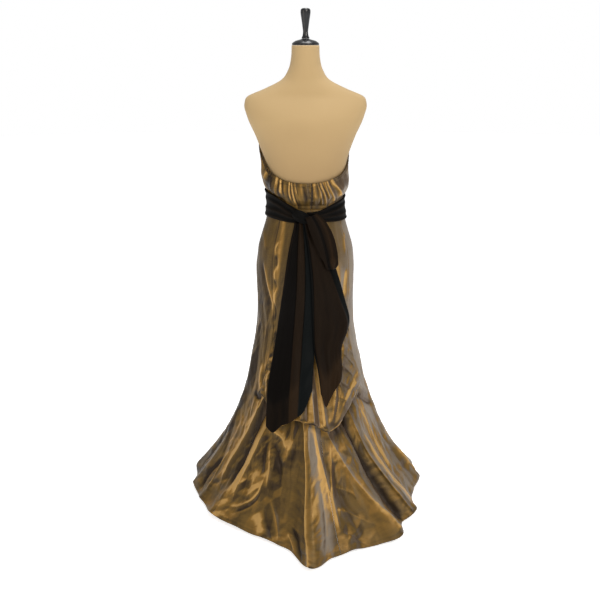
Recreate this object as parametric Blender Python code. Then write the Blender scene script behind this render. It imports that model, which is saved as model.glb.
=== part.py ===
"""Evening gown on a limbless dress form, at its real size in metres.

+Z is up and the origin is on the floor, on the axis of the stand's pole. The gown's back and
train face -Y, its front faces +Y, and +X is to the right of somebody who looks at the back.

Angles round the figure are in degrees from the centre back: 0 is -Y, 90 is +X, 180 is +Y.
Every cloth panel is a thin wall: a grid of points for its outer face, whose rows run down and
whose columns each stay in one upright plane through the axis, a second grid one wall inside
it, and a rim that closes the two.
"""

import math

import bpy
import numpy as np

# ---------------------------------------------------------------- driving dimensions

WALL = 0.002            # thickness of every cloth wall
SEAM = 0.0004           # gap between two panels at their seam
WAIST_Z = 1.003         # height of the waist seam
KNEE_Z = 0.600          # height where the skirt starts to flare
HEM_CLEAR = 0.0005      # the hem hangs this far above the floor
COLUMN = 6.0            # spacing of the cloth's columns, in degrees; the seams are multiples of it
SEAM_SIDE = 90.0        # side seams
SEAM_BACK_LEFT = -48.0  # princess seam at the left of the back
SEAM_BACK_RIGHT = 66.0  # princess seam at the right of the back
SEAM_CENTRE = 12.0      # centre-back seam

# The form: half width, depth behind and in front of the section's centre, and that centre's place.
FORM_SECTIONS = (
    # z,     half_width, back,   front,  centre_y
    (0.715, 0.1530, 0.1200, 0.0940, 0.000),
    (0.800, 0.1560, 0.1230, 0.0965, 0.000),
    (0.860, 0.1515, 0.1165, 0.0970, 0.000),
    (0.920, 0.1360, 0.1010, 0.0940, 0.000),
    (1.000, 0.1180, 0.0830, 0.0880, 0.000),
    (1.070, 0.1250, 0.0880, 0.0960, 0.000),
    (1.160, 0.1370, 0.0980, 0.1080, 0.000),
    (1.225, 0.1600, 0.1020, 0.0960, 0.000),
    (1.290, 0.1880, 0.0900, 0.0800, 0.000),
    (1.330, 0.1955, 0.0680, 0.0640, 0.002),
    (1.352, 0.1850, 0.0540, 0.0520, 0.004),
    (1.374, 0.1340, 0.0500, 0.0490, 0.006),
    (1.402, 0.0780, 0.0470, 0.0470, 0.010),
    (1.432, 0.0560, 0.0480, 0.0470, 0.014),
    (1.470, 0.0460, 0.0480, 0.0460, 0.017),
    (1.508, 0.0440, 0.0460, 0.0440, 0.020),
)
FORM_EXTRA_Z = (0.960, 1.035, 1.115, 1.192, 1.258, 1.312, 1.342, 1.364, 1.388, 1.417)
FORM_SIDES = 30
BUST_Z = 1.160
BUST_ANGLE = 38.0
BUST_WIDTH = 24.0
BUST_REACH = 0.062
BUST_HEIGHT = 0.020

# The finial and cap on the neck, and the stand: radius at each height.
CAP_PROFILE = (
    (1.5085, 0.0430), (1.5145, 0.0430), (1.5215, 0.0330), (1.5260, 0.0170), (1.5280, 0.0110),
)
FINIAL_PROFILE = (
    (1.5285, 0.0120), (1.5320, 0.0125), (1.5365, 0.0095), (1.5500, 0.0078),
    (1.5800, 0.0118), (1.6060, 0.0158), (1.6150, 0.0156), (1.6195, 0.0120), (1.6205, 0.0060),
)
NECK_TILT_Y = 0.020     # the neck leans this far forward at its top
POLE_RADIUS = 0.0160
POLE_TOP_Z = 0.7145
COLLAR_RADIUS = 0.0340
COLLAR_HEIGHT = 0.030
COLLAR_TAPER = 0.6      # the collar's radius at its foot, as a share of the one at its top
BASE_PROFILE = (
    (0.000, 0.1400), (0.009, 0.1400), (0.014, 0.1330), (0.022, 0.0600), (0.034, 0.0300), (0.036, 0.0220),
)
ROUND_SIDES = 24
SLIM_SIDES = 16         # for the finial, the pole and its collar

# The fitted part of the skirt, from the waist seam to the knee.
SKIRT_SECTIONS = (
    # z,     half_width, back,   front
    (1.003, 0.1225, 0.0875, 0.0925),
    (0.960, 0.1300, 0.0955, 0.0960),
    (0.915, 0.1430, 0.1080, 0.0995),
    (0.870, 0.1560, 0.1200, 0.1015),
    (0.820, 0.1610, 0.1280, 0.1025),
    (0.750, 0.1620, 0.1290, 0.1020),
    (0.680, 0.1610, 0.1250, 0.1015),
    (0.600, 0.1650, 0.1215, 0.1035),
)
# The flare below the knee, by direction: hem radius, and the control point of its curve.
FLARE_SECTIONS = (
    # angle, hem_radius, bend_radius, bend_z
    (-180.0, 0.335, 0.160, 0.170),
    (-150.0, 0.355, 0.180, 0.180),
    (-118.0, 0.380, 0.212, 0.185),
    (-104.0, 0.390, 0.216, 0.188),
    (-90.0, 0.384, 0.218, 0.190),
    (-78.0, 0.384, 0.214, 0.186),
    (-64.0, 0.380, 0.209, 0.178),
    (-48.0, 0.398, 0.205, 0.165),
    (-35.0, 0.402, 0.205, 0.157),
    (-23.0, 0.418, 0.211, 0.149),
    (-12.0, 0.448, 0.220, 0.140),
    (-5.0, 0.486, 0.227, 0.133),
    (2.0, 0.598, 0.230, 0.130),
    (8.0, 0.536, 0.230, 0.130),
    (14.0, 0.512, 0.230, 0.130),
    (20.0, 0.496, 0.227, 0.136),
    (28.0, 0.496, 0.222, 0.143),
    (36.0, 0.506, 0.215, 0.150),
    (43.0, 0.446, 0.211, 0.156),
    (54.0, 0.434, 0.208, 0.165),
    (72.0, 0.380, 0.212, 0.180),
    (92.0, 0.394, 0.218, 0.190),
    (118.0, 0.380, 0.212, 0.185),
    (150.0, 0.355, 0.180, 0.180),
    (180.0, 0.335, 0.160, 0.170),
)
# Folds of the flare: where the ridge meets the hem and where it starts at the knee, its width in
# degrees and its height at the hem, and how far down the flare (0 knee, 1 hem) it begins.
SKIRT_FOLDS = (
    # hem_angle, top_angle, width, height, start
    (-166.0, -172.0, 11.0, 0.016, 0.20),
    (-143.0, -150.0, 9.0, 0.022, 0.10),
    (-122.0, -128.0, 8.0, 0.018, 0.25),
    (-104.0, -100.0, 8.5, 0.030, 0.10),
    (-84.0, -78.0, 8.0, 0.026, 0.05),
    (-66.0, -60.0, 7.0, 0.020, 0.30),
    (-50.0, -40.0, 7.0, 0.028, 0.12),
    (-33.0, -28.0, 8.0, 0.022, 0.30),
    (-16.0, -14.0, 7.0, 0.018, 0.25),
    (3.0, 2.0, 6.0, 0.022, 0.10),
    (17.0, 9.0, 6.0, 0.016, 0.15),
    (37.0, 22.0, 6.5, 0.032, 0.12),
    (56.0, 44.0, 7.0, 0.032, 0.08),
    (74.0, 70.0, 8.0, 0.016, 0.30),
    (91.0, 86.0, 8.0, 0.024, 0.10),
    (108.0, 102.0, 8.5, 0.030, 0.15),
    (127.0, 122.0, 8.0, 0.018, 0.25),
    (147.0, 150.0, 9.0, 0.022, 0.10),
    (170.0, 168.0, 11.0, 0.014, 0.20),
)
FITTED_Z = (1.003, 0.950, 0.890, 0.820, 0.720, 0.600)
FLARE_T = (0.06, 0.13, 0.24, 0.39, 0.57, 0.78, 1.00)
TRAIN_START = 1         # the train panels start at this row of the flare, behind the swag

# The bustle: the back panels are caught up in a tuck whose lower edge is the swag.
SWAG_SECTIONS = (
    # angle, edge_z, reach, tuck
    (-48.0, 0.392, 0.021, 0.030),
    (-38.0, 0.372, 0.026, 0.034),
    (-24.0, 0.312, 0.044, 0.055),
    (-8.0, 0.338, 0.046, 0.055),
    (2.0, 0.334, 0.046, 0.055),
    (8.0, 0.324, 0.048, 0.058),
    (14.0, 0.306, 0.050, 0.060),
    (20.0, 0.312, 0.050, 0.060),
    (28.0, 0.338, 0.048, 0.056),
    (37.0, 0.364, 0.044, 0.048),
    (46.0, 0.390, 0.038, 0.042),
    (56.0, 0.404, 0.030, 0.036),
    (66.0, 0.412, 0.021, 0.031),
)
SWAG_SHARES = (0.22, 0.48, 0.74, 0.92)
SWAG_ROLL = 0.016       # thickness of the roll at the swag's edge
SWAG_ROLL_SHARE = 0.55  # and at most this share of the swag's reach
ROLL_ROWS = (
    # share of the roll's thickness inwards, height over the edge
    (0.10, 0.004),
    (0.50, 0.000),
    (0.92, 0.005),
    (1.05, 0.014),
)
TUCK_GAP = 0.0016       # the tuck's upper end clears the train by this much

# The bodice's upper edge, by direction.
NECKLINE = (
    # angle, z
    (-180.0, 1.222),
    (-150.0, 1.242),
    (-120.0, 1.232),
    (-100.0, 1.208),
    (-88.0, 1.186),
    (-72.0, 1.136),
    (-50.0, 1.102),
    (-25.0, 1.089),
    (0.0, 1.086),
    (25.0, 1.088),
    (50.0, 1.098),
    (72.0, 1.118),
    (88.0, 1.146),
    (100.0, 1.178),
    (120.0, 1.220),
    (150.0, 1.242),
    (180.0, 1.222),
)
BODICE_GAP = 0.0044     # the bodice's outer face stands this far off the form
GATHER_PUFF = 0.010     # the gathered cloth above the sash puffs out this far
PUFF_EDGE = 115.0       # the puff fades out between this angle from the centre back
PUFF_FADE = 40.0        # and this many degrees less
PUFF_FRONT = 0.30       # the share of it that is left in front
PUFF_START = 0.004      # the gathered cloth starts this far above the sash
BODICE_SHARES = (0.0, 0.25, 0.50, 0.76, 1.0)    # rows from the band's top to the neckline
EDGE_HEIGHT = 0.012     # the shirred edge along the neckline
EDGE_OFF = 0.0014       # its gap to the bodice
ZIP_HALF_ANGLE = 2.0
ZIP_THICKNESS = 0.0012
ZIP_OFF = 0.0008        # its gap to the bodice

# The sash: where the band's edges run, by angle from the centre back.
BAND_SECTIONS = (
    # angle, top_z, bottom_z
    (-180.0, 1.050, 0.964),
    (-135.0, 1.052, 0.966),
    (-90.0, 1.056, 0.972),
    (-60.0, 1.043, 0.968),
    (-35.0, 1.020, 0.962),
    (-12.0, 1.000, 0.960),
    (12.0, 0.994, 0.960),
    (30.0, 1.000, 0.962),
    (55.0, 1.018, 0.960),
    (90.0, 1.038, 0.962),
    (135.0, 1.046, 0.962),
    (180.0, 1.050, 0.964),
)
BAND_START = 12.0       # the band's two ends meet under the knot
BAND_OFF = 0.0028       # gap between the band and the gown
BAND_PLEATS = (0.0, 0.0032, 0.0024, 0.0)    # the band is folded lengthwise

# Sash tails: their edges at each height, the slanted lower edge, and the lengthwise folds.
TAIL_LEFT = (
    # z,    left,    right
    (0.300, -0.130, 0.0180),
    (0.434, -0.123, 0.0220),
    (0.556, -0.102, 0.0300),
    (0.748, -0.073, 0.0280),
    (0.880, -0.053, 0.0160),
    (0.957, -0.036, 0.0020),
)
TAIL_LEFT_END = (
    # across, z
    (0.00, 0.318),
    (0.16, 0.306),
    (0.34, 0.326),
    (0.62, 0.348),
    (0.86, 0.382),
    (1.00, 0.432),
)
TAIL_LEFT_FOLDS = (
    # across, lift
    (0.00, 0.004),
    (0.12, 0.009),
    (0.34, 0.005),
    (0.50, 0.010),
    (0.70, 0.005),
    (0.84, 0.003),
    (1.00, 0.002),
)
TAIL_RIGHT = (
    # z,    left,   right
    (0.367, 0.056, 0.0900),
    (0.476, 0.042, 0.1200),
    (0.552, 0.028, 0.1190),
    (0.630, 0.024, 0.1450),
    (0.714, 0.021, 0.1280),
    (0.808, 0.016, 0.1010),
    (0.880, 0.008, 0.0760),
    (0.957, -0.004, 0.0300),
)
TAIL_RIGHT_END = (
    # across, z
    (0.00, 0.422),
    (0.30, 0.386),
    (0.60, 0.410),
    (1.00, 0.456),
)
TAIL_RIGHT_FOLDS = (
    # across, lift
    (0.00, 0.0090),
    (0.12, 0.0110),
    (0.34, 0.0090),
    (0.50, 0.0120),
    (0.74, 0.0065),
    (0.90, 0.0100),
    (1.00, 0.0040),
)
TAIL_TOP_Z = 0.957
TAIL_ROWS = 10
DEPTH_STEPS = 12
DEPTH_SPAN = (-0.06, -0.03, 0.0, 0.03, 0.06)    # heights averaged, so a tail hangs straight past the knee
TAIL_OFF = 0.0060
TAIL_SPREAD = 0.70      # a tail follows the skirt as it is at this share of the distance from the centre

# The knot and the loop that hangs from it.
KNOT_CENTRE = (-0.014, -0.1125, 0.983)
KNOT_HALF = (0.0300, 0.0115, 0.0175)
KNOT_SLANT = -28.0      # its right end is the lower one
KNOT_RINGS = 8
KNOT_SIDES = 16
KNOT_DENT = 0.05        # three soft dents round it, as a share of its size
KNOT_FULL = 0.7         # below 1 makes its ends blunter than an oval's
LOOP_PATH = (
    # z,    x,      half_width
    (0.826, 0.084, 0.0210),
    (0.870, 0.074, 0.0280),
    (0.930, 0.052, 0.0310),
    (0.965, 0.033, 0.0270),
    (0.988, 0.018, 0.0190),
)
LOOP_DEPTH = 0.014
LOOP_ROWS = 7
LOOP_OFF = 0.020        # the loop's inner layer stands this far off the tail under it
LOOP_LAYERS = 0.001     # gap between its two layers at their edges
LOOP_TURN = 0.006       # how far the turn at its end hangs below the layers
LOOP_CUP = 0.25         # the layers curve back at their edges by this share of their depth


# ---------------------------------------------------------------- helpers

def smooth(at, table, column):
    """Reads a column of a table at these values of its first column, along a cubic through its rows."""
    rows = np.array(table, float)
    x, y = rows[:, 0], rows[:, column]
    slope = np.gradient(y, x)
    at = np.clip(np.asarray(at, float), x[0], x[-1])
    i = np.clip(np.searchsorted(x, at, side="right") - 1, 0, len(x) - 2)
    h = x[i + 1] - x[i]
    t = (at - x[i]) / h
    start = (2 * t**3 - 3 * t**2 + 1) * y[i] + (t**3 - 2 * t**2 + t) * h * slope[i]
    end = (3 * t**2 - 2 * t**3) * y[i + 1] + (t**3 - t**2) * h * slope[i + 1]
    return start + end


def upward(table):
    """The table with its first column rising."""
    return table if table[0][0] < table[-1][0] else table[::-1]


def turned(angle):
    """The same angle between -180 and 180 degrees."""
    return (np.asarray(angle, float) + 180.0) % 360.0 - 180.0


def ease(t):
    """0 before 0, 1 after 1, and smooth between them."""
    t = np.clip(t, 0.0, 1.0)
    return t * t * (3 - 2 * t)


def outward(angle):
    """The level direction away from the axis at these angles."""
    a = np.radians(angle)
    return np.stack([np.sin(a), -np.cos(a), 0 * a], axis=-1)


def around(angle, radius, z):
    """Points at these angles, distances from the axis and heights."""
    radius, z = np.broadcast_arrays(radius, z)
    points = outward(angle + 0 * radius) * radius[..., None]
    points[..., 2] = z
    return points


def oval(angle, width, back, front):
    """Distance from the axis to an oval with these half sizes."""
    a = np.radians(angle)
    depth = np.where(np.cos(a) > 0, back, front)
    return 1.0 / np.sqrt((np.sin(a) / width) ** 2 + (np.cos(a) / depth) ** 2)


def material(name, colour, roughness, metallic=0.0):
    """A plain finish from an sRGB colour."""
    made = bpy.data.materials.new(name)
    made.use_nodes = True
    shader = made.node_tree.nodes["Principled BSDF"]
    linear = [c / 12.92 if c <= 0.04045 else ((c + 0.055) / 1.055) ** 2.4 for c in colour]
    shader.inputs["Base Color"].default_value = (*linear, 1.0)
    shader.inputs["Roughness"].default_value = roughness
    shader.inputs["Metallic"].default_value = metallic
    return made


def add_object(name, points, faces, finish):
    """One named object from points and faces, shaded smooth."""
    mesh = bpy.data.meshes.new(name)
    mesh.from_pydata([tuple(p) for p in points], [], faces)
    mesh.shade_smooth()
    mesh.set_sharp_from_angle(angle=math.radians(50))
    mesh.materials.append(finish)
    made = bpy.data.objects.new(name, mesh)
    bpy.context.scene.collection.objects.link(made)
    return made


def grid_faces(rows, columns, first=0, flip=False):
    """The triangles of a grid listed row by row. Both faces of a wall are cut along the same diagonals."""
    faces = []
    for r in range(rows - 1):
        for c in range(columns - 1):
            a = first + r * columns + c
            beside, below, across = a + 1, a + columns, a + columns + 1
            for face in ((a, beside, across), (a, across, below)):
                faces.append(face[::-1] if flip else face)
    return faces


def rim_faces(rows, columns, inner):
    """The quads that join the border of the outer grid to the inner grid, which starts at inner."""
    loop = [c for c in range(columns)]
    loop += [r * columns + columns - 1 for r in range(1, rows)]
    loop += [(rows - 1) * columns + c for c in range(columns - 2, -1, -1)]
    loop += [r * columns for r in range(rows - 2, 0, -1)]
    pairs = zip(loop, loop[1:] + loop[:1])
    return [(a, b, inner + b, inner + a) for a, b in pairs]


def facing(grid, closed=False):
    """Unit vectors out of a grid whose rows run down and whose columns go to growing angles."""
    wide = np.concatenate([grid[:, -1:], grid, grid[:, :1]], axis=1) if closed else grid
    down = np.gradient(wide, axis=0)
    across = np.gradient(wide, axis=1)
    found = np.cross(across, -down)
    found = found[:, 1:-1] if closed else found
    return found / np.linalg.norm(found, axis=2, keepdims=True)


def in_plane(normals, angles):
    """The same vectors with no part across the upright planes of these columns."""
    a = np.radians(angles)
    across = np.stack([np.cos(a), np.sin(a), 0 * a], axis=-1)
    found = normals - np.sum(normals * across, axis=-1, keepdims=True) * across
    return found / np.linalg.norm(found, axis=-1, keepdims=True)


def cloth(name, outer, normals, finish, wall=WALL):
    """A cloth wall whose outer face is the grid and whose inner face is one wall inside it."""
    rows, columns = outer.shape[:2]
    inner = outer - normals * wall
    points = np.concatenate([outer.reshape(-1, 3), inner.reshape(-1, 3)])
    count = rows * columns
    faces = grid_faces(rows, columns, flip=True)
    faces += grid_faces(rows, columns, first=count)
    faces += rim_faces(rows, columns, count)
    return add_object(name, points, faces, finish)


def panel(name, grid, normals, angles, low, high, finish, wall=WALL):
    """The columns between two seams as one panel, with half a seam's gap taken off each side."""
    keep = [i for i, a in enumerate(angles) if low - 1e-6 <= a <= high + 1e-6]
    piece, faced = grid[:, keep].copy(), normals[:, keep].copy()
    for column, sign in ((0, 1.0), (-1, -1.0)):
        a = np.radians(angles[keep[column]])
        across = np.array([np.cos(a), np.sin(a), 0.0])
        faced[:, column] = in_plane(faced[:, column], angles[keep[column]] + np.zeros(len(piece)))
        piece[:, column] += across * sign * SEAM / 2
    return cloth(name, piece, faced, finish, wall)


def lathe(name, profile, finish, centre_y=0.0, sides=ROUND_SIDES):
    """A solid turned about a vertical axis from (height, radius) pairs, listed from the bottom up."""
    turn = np.linspace(0, 2 * math.pi, sides, endpoint=False)
    points = [(r * math.cos(a), r * math.sin(a) + centre_y, z) for z, r in profile for a in turn]
    faces = []
    for ring in range(len(profile) - 1):
        for side in range(sides):
            a, b = ring * sides + side, ring * sides + (side + 1) % sides
            faces.append((a, b, b + sides, a + sides))
    last = (len(profile) - 1) * sides
    faces.append(tuple(range(sides - 1, -1, -1)))
    faces.append(tuple(range(last, last + sides)))
    return add_object(name, points, faces, finish)


# ---------------------------------------------------------------- the form and its stand

def form_radius(angle, z):
    """Distance from the section's centre to the form's surface."""
    columns = [smooth(z, FORM_SECTIONS, c) for c in (1, 2, 3)]
    radius = oval(angle, *columns)
    off = np.abs(np.abs(turned(angle)) - (180.0 - BUST_ANGLE)) / BUST_WIDTH
    return radius + BUST_HEIGHT * np.exp(-off**2 - ((z - BUST_Z) / BUST_REACH) ** 2)


def make_form(jersey, lacquer, steel):
    """The torso, the cap and finial on its neck, and a plain stand under it."""
    heights = sorted([section[0] for section in FORM_SECTIONS] + list(FORM_EXTRA_Z))
    turn = np.linspace(0, 360, FORM_SIDES, endpoint=False)
    angle, z = np.meshgrid(turn, heights)
    points = around(angle, form_radius(angle, z), z)
    points[..., 1] += smooth(z, FORM_SECTIONS, 4)
    faces = []
    for ring in range(len(heights) - 1):
        for side in range(FORM_SIDES):
            a, b = ring * FORM_SIDES + side, ring * FORM_SIDES + (side + 1) % FORM_SIDES
            faces.append((a, b, b + FORM_SIDES, a + FORM_SIDES))
    last = (len(heights) - 1) * FORM_SIDES
    faces.append(tuple(range(FORM_SIDES - 1, -1, -1)))
    faces.append(tuple(range(last, last + FORM_SIDES)))
    add_object("form_torso", points.reshape(-1, 3), faces, jersey)
    lathe("form_neck_cap", CAP_PROFILE, lacquer, NECK_TILT_Y)
    lathe("form_finial", FINIAL_PROFILE, lacquer, NECK_TILT_Y, SLIM_SIDES)
    lathe("stand_base", BASE_PROFILE, steel)
    shoulder = POLE_TOP_Z - COLLAR_HEIGHT
    pole = ((BASE_PROFILE[-1][0] + SEAM, POLE_RADIUS), (shoulder, POLE_RADIUS))
    lathe("stand_pole", pole, steel, sides=SLIM_SIDES)
    collar = ((shoulder + SEAM, COLLAR_RADIUS * COLLAR_TAPER), (POLE_TOP_Z, COLLAR_RADIUS))
    lathe("stand_collar", collar, steel, sides=SLIM_SIDES)


# ---------------------------------------------------------------- the skirt

def fitted_radius(angle, z):
    """Distance from the axis to the skirt's outer face above the knee."""
    table = upward(SKIRT_SECTIONS)
    return oval(angle, *[smooth(z, table, c) for c in (1, 2, 3)])


def flare(angle, t):
    """Distance from the axis and height of the flare without its folds: one quadratic curve for
    each direction, from the knee (t 0) to the hem (t 1)."""
    side = turned(angle)
    hem, bend = smooth(side, FLARE_SECTIONS, 1), smooth(side, FLARE_SECTIONS, 2)
    knee = fitted_radius(angle, KNEE_Z + 0 * t)
    first, middle, last = (1 - t) ** 2, 2 * t * (1 - t), t**2
    radius = first * knee + middle * bend + last * hem
    z = first * KNEE_Z + middle * smooth(side, FLARE_SECTIONS, 3) + last * (HEM_CLEAR + WALL)
    return radius, z


def fold_height(angle, t):
    """How far the folds lift the flare off its smooth form."""
    total = np.zeros(np.broadcast(angle, t).shape)
    for hem_angle, top_angle, width, height, start in SKIRT_FOLDS:
        ridge = top_angle + (hem_angle - top_angle) * t
        off = np.abs(turned(angle - ridge)) / width
        total += height * ease((t - start) / (1 - start)) ** 0.8 * np.exp(-off**1.5)
    return total


def flare_points(angle, t):
    """The flare's outer face with its folds, each lifted inside its column's own plane."""
    radius, z = flare(angle, t)
    more_radius, more_z = flare(angle, t + 0.001)
    run = np.stack([more_radius - radius, more_z - z], axis=-1)
    run /= np.linalg.norm(run, axis=-1, keepdims=True)
    lift = fold_height(angle, t)
    radius = radius - run[..., 1] * lift
    z = z + run[..., 0] * lift
    return around(angle, radius, np.maximum(z, HEM_CLEAR + WALL))


def flare_at(angle, z):
    """How far down the flare (0 knee, 1 hem) it passes this height."""
    bend = smooth(turned(angle), FLARE_SECTIONS, 3)
    a = KNEE_Z - 2 * bend + HEM_CLEAR + WALL
    b = 2 * (bend - KNEE_Z)
    return (-b - np.sqrt(np.maximum(b * b - 4 * a * (KNEE_Z - z), 0))) / (2 * a)


def train_radius(angle, z):
    """Distance from the axis to the skirt's outer face, folds and all, at a height below the knee."""
    t = flare_at(angle, z)
    return flare(angle, t)[0] + fold_height(angle, t)


def swag_radius(angle, z):
    """Distance from the axis to the outer face of the back panels between the knee and the swag's edge."""
    edge = smooth(angle, SWAG_SECTIONS, 1)
    share = ease((KNEE_Z - z) / (KNEE_Z - edge))
    return train_radius(angle, z) + smooth(angle, SWAG_SECTIONS, 2) * share


def back_radius(angle, z):
    """Distance from the axis to the outermost cloth of the back above the swag's edge."""
    low = swag_radius(angle, np.minimum(z, KNEE_Z))
    return np.where(z >= KNEE_Z, fitted_radius(angle, np.maximum(z, KNEE_Z)), low)


def skirt_ring():
    """The whole skirt's outer face without the tuck, every column once, and the vectors out of it."""
    angles = np.arange(-180.0, 180.0, COLUMN)
    angle, z = np.meshgrid(angles, FITTED_Z)
    upper = around(angle, fitted_radius(angle, z), z)
    angle, t = np.meshgrid(angles, FLARE_T)
    grid = np.concatenate([upper, flare_points(angle, t)])
    normals = facing(grid, closed=True)
    normals[0] = in_plane(normals[0], angles)
    normals[0, :, 2] = 0
    normals[0] /= np.linalg.norm(normals[0], axis=-1, keepdims=True)
    return angles, grid, normals


def unroll(angles, grid, normals):
    """Two turns of a ring, so that a panel can cross the front."""
    return np.concatenate([angles, angles + 360.0]), np.tile(grid, (1, 2, 1)), np.tile(normals, (1, 2, 1))


def make_skirt(taffeta):
    """Front, two side-back panels, two back panels caught up in the swag, and two train panels."""
    angles, grid, normals = skirt_ring()
    fitted_rows = len(FITTED_Z)
    train, train_normals = grid[fitted_rows + TRAIN_START:], normals[fitted_rows + TRAIN_START:]
    panel("train_left", train, train_normals, angles, SEAM_BACK_LEFT, SEAM_CENTRE, taffeta)
    panel("train_right", train, train_normals, angles, SEAM_CENTRE, SEAM_BACK_RIGHT, taffeta)
    back = [i for i, a in enumerate(angles) if SEAM_BACK_LEFT <= a <= SEAM_BACK_RIGHT]
    over = angles[back]
    edge = smooth(over, SWAG_SECTIONS, 1)
    reach = smooth(over, SWAG_SECTIONS, 2)
    tuck = smooth(over, SWAG_SECTIONS, 3)
    rows = []
    for share in SWAG_SHARES:
        z = KNEE_Z + (edge - KNEE_Z) * share
        rows.append(around(over, swag_radius(over, z), z))
    roll = np.minimum(SWAG_ROLL, reach * SWAG_ROLL_SHARE)
    rim = swag_radius(over, edge)
    for inwards, rise in ROLL_ROWS:
        rows.append(around(over, rim - roll * inwards, edge + rise))
    top = edge + tuck
    rows.append(around(over, train_radius(over, top) + WALL + TUCK_GAP, top))
    swag = np.concatenate([grid[:fitted_rows, back], np.array(rows)])
    faced = facing(swag)
    faced[:fitted_rows - 1] = normals[:fitted_rows - 1, back]
    panel("skirt_back_left", swag, faced, over, SEAM_BACK_LEFT, SEAM_CENTRE, taffeta)
    panel("skirt_back_right", swag, faced, over, SEAM_CENTRE, SEAM_BACK_RIGHT, taffeta)
    angles, grid, normals = unroll(angles, grid, normals)
    for name, low, high in (
        ("skirt_side_right", SEAM_BACK_RIGHT, SEAM_SIDE),
        ("skirt_front", SEAM_SIDE, 360 - SEAM_SIDE),
        ("skirt_side_left", 360 - SEAM_SIDE, 360 + SEAM_BACK_LEFT),
    ):
        panel(name, grid, normals, angles, low, high, taffeta)


# ---------------------------------------------------------------- the bodice

def bodice_radius(angle, z):
    """Distance from the axis to the bodice's outer face, with the gathered cloth puffed over the sash."""
    side = turned(angle)
    top = smooth(side, NECKLINE, 1)
    start = smooth(side, BAND_SECTIONS, 1) + PUFF_START
    share = np.clip((z - start) / (top - start), 0, 1)
    back = ease((PUFF_EDGE - np.abs(side)) / PUFF_FADE)
    puff = GATHER_PUFF * np.sin(math.pi * share**0.8) * (PUFF_FRONT + (1 - PUFF_FRONT) * back)
    return form_radius(angle, z) + BODICE_GAP + puff


def bodice_rows(angles):
    """Heights of the bodice's rows at each column, from the neckline down to the waist seam."""
    side = turned(angles)
    top, start = smooth(side, NECKLINE, 1), smooth(side, BAND_SECTIONS, 1) + PUFF_START
    upper = [top + (start - top) * (1 - share) for share in BODICE_SHARES[::-1]]
    waist = WAIST_Z + SEAM + 0 * start
    middle = np.maximum((start + waist) / 2, waist + 0.004)
    upper[-1] = np.maximum(upper[-1], middle + 0.006)
    return np.array(upper + [middle, waist])


def make_bodice(taffeta, tape):
    """Front and two back panels, the shirred edge along the neckline, and the zip at the centre back."""
    ring = np.arange(-180.0, 180.0, COLUMN)
    z = bodice_rows(ring)
    grid = around(ring + 0 * z, bodice_radius(ring, z), z)
    normals = facing(grid, closed=True)
    normals[-1, :, 2] = 0
    normals[-1] = in_plane(normals[-1], ring)
    flat = grid
    angles, grid, normals = unroll(ring, grid, normals)
    for name, low, high in (
        ("bodice_back_right", SEAM_CENTRE, SEAM_SIDE),
        ("bodice_front", SEAM_SIDE, 360 - SEAM_SIDE),
        ("bodice_back_left", 360 - SEAM_SIDE, 360 + SEAM_CENTRE),
    ):
        panel(name, grid, normals, angles, low, high, taffeta)
    share = EDGE_HEIGHT / (z[0] - z[1])
    lower = flat[0] + (flat[1] - flat[0]) * share[:, None]
    strip = np.array([flat[0], lower])
    normals = facing(strip, closed=True)
    strip = strip + normals * (WALL + EDGE_OFF)
    angles, strip, normals = unroll(ring, strip, normals)
    panel("neckline_edge", strip, normals, angles, SEAM_CENTRE, SEAM_CENTRE + 360, taffeta)
    make_zip(tape)


def make_zip(tape):
    """The closed zip, a strip along the centre-back seam between the sash and the shirred edge."""
    beside = np.array([SEAM_CENTRE - COLUMN, SEAM_CENTRE, SEAM_CENTRE + COLUMN])
    z = bodice_rows(beside)[1:len(BODICE_SHARES)]
    z[0] -= 0.003
    points = around(beside + 0 * z, bodice_radius(beside, z), z)
    share = ZIP_HALF_ANGLE / COLUMN
    left = points[:, 1] + (points[:, 0] - points[:, 1]) * share
    right = points[:, 1] + (points[:, 2] - points[:, 1]) * share
    grid = np.stack([left, points[:, 1], right], axis=1)
    normals = facing(grid)
    cloth("back_zip", grid + normals * (ZIP_THICKNESS + ZIP_OFF), normals, tape, ZIP_THICKNESS)


# ---------------------------------------------------------------- the sash

def gown_radius(angle, z):
    """Distance from the axis to the gown's outer face near the waist."""
    skirt = fitted_radius(angle, np.minimum(z, WAIST_Z))
    bodice = form_radius(angle, np.maximum(z, WAIST_Z)) + BODICE_GAP
    return np.where(z > WAIST_Z, bodice, skirt)


def make_band(satin):
    """The folded band round the waist; its ends meet under the knot."""
    angles = np.arange(BAND_START, 360 - BAND_START + 1, COLUMN)
    side = turned(angles)
    top, bottom = smooth(side, BAND_SECTIONS, 1), smooth(side, BAND_SECTIONS, 2)
    rows = []
    for share, pleat in zip(np.linspace(0, 1, len(BAND_PLEATS)), BAND_PLEATS):
        z = top + (bottom - top) * share
        rows.append(around(angles, gown_radius(angles, z) + BAND_OFF + WALL + pleat, z))
    grid = np.array(rows)
    cloth("sash_band", grid, facing(grid), satin)


def back_depth(x, z):
    """How far behind the axis cloth that hangs over the back is, at these places across.

    The angle depends on the depth and the depth on the angle, so it is found by steps that
    close half of what is left each time.
    """
    depth = 0.13 + 0 * x * z
    for _ in range(DEPTH_STEPS):
        angle = np.degrees(np.arctan2(x, depth))
        radius = sum(back_radius(angle, z + step) for step in DEPTH_SPAN) / len(DEPTH_SPAN)
        depth = 0.5 * depth + 0.5 * radius * np.cos(np.radians(angle))
    return depth


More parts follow.
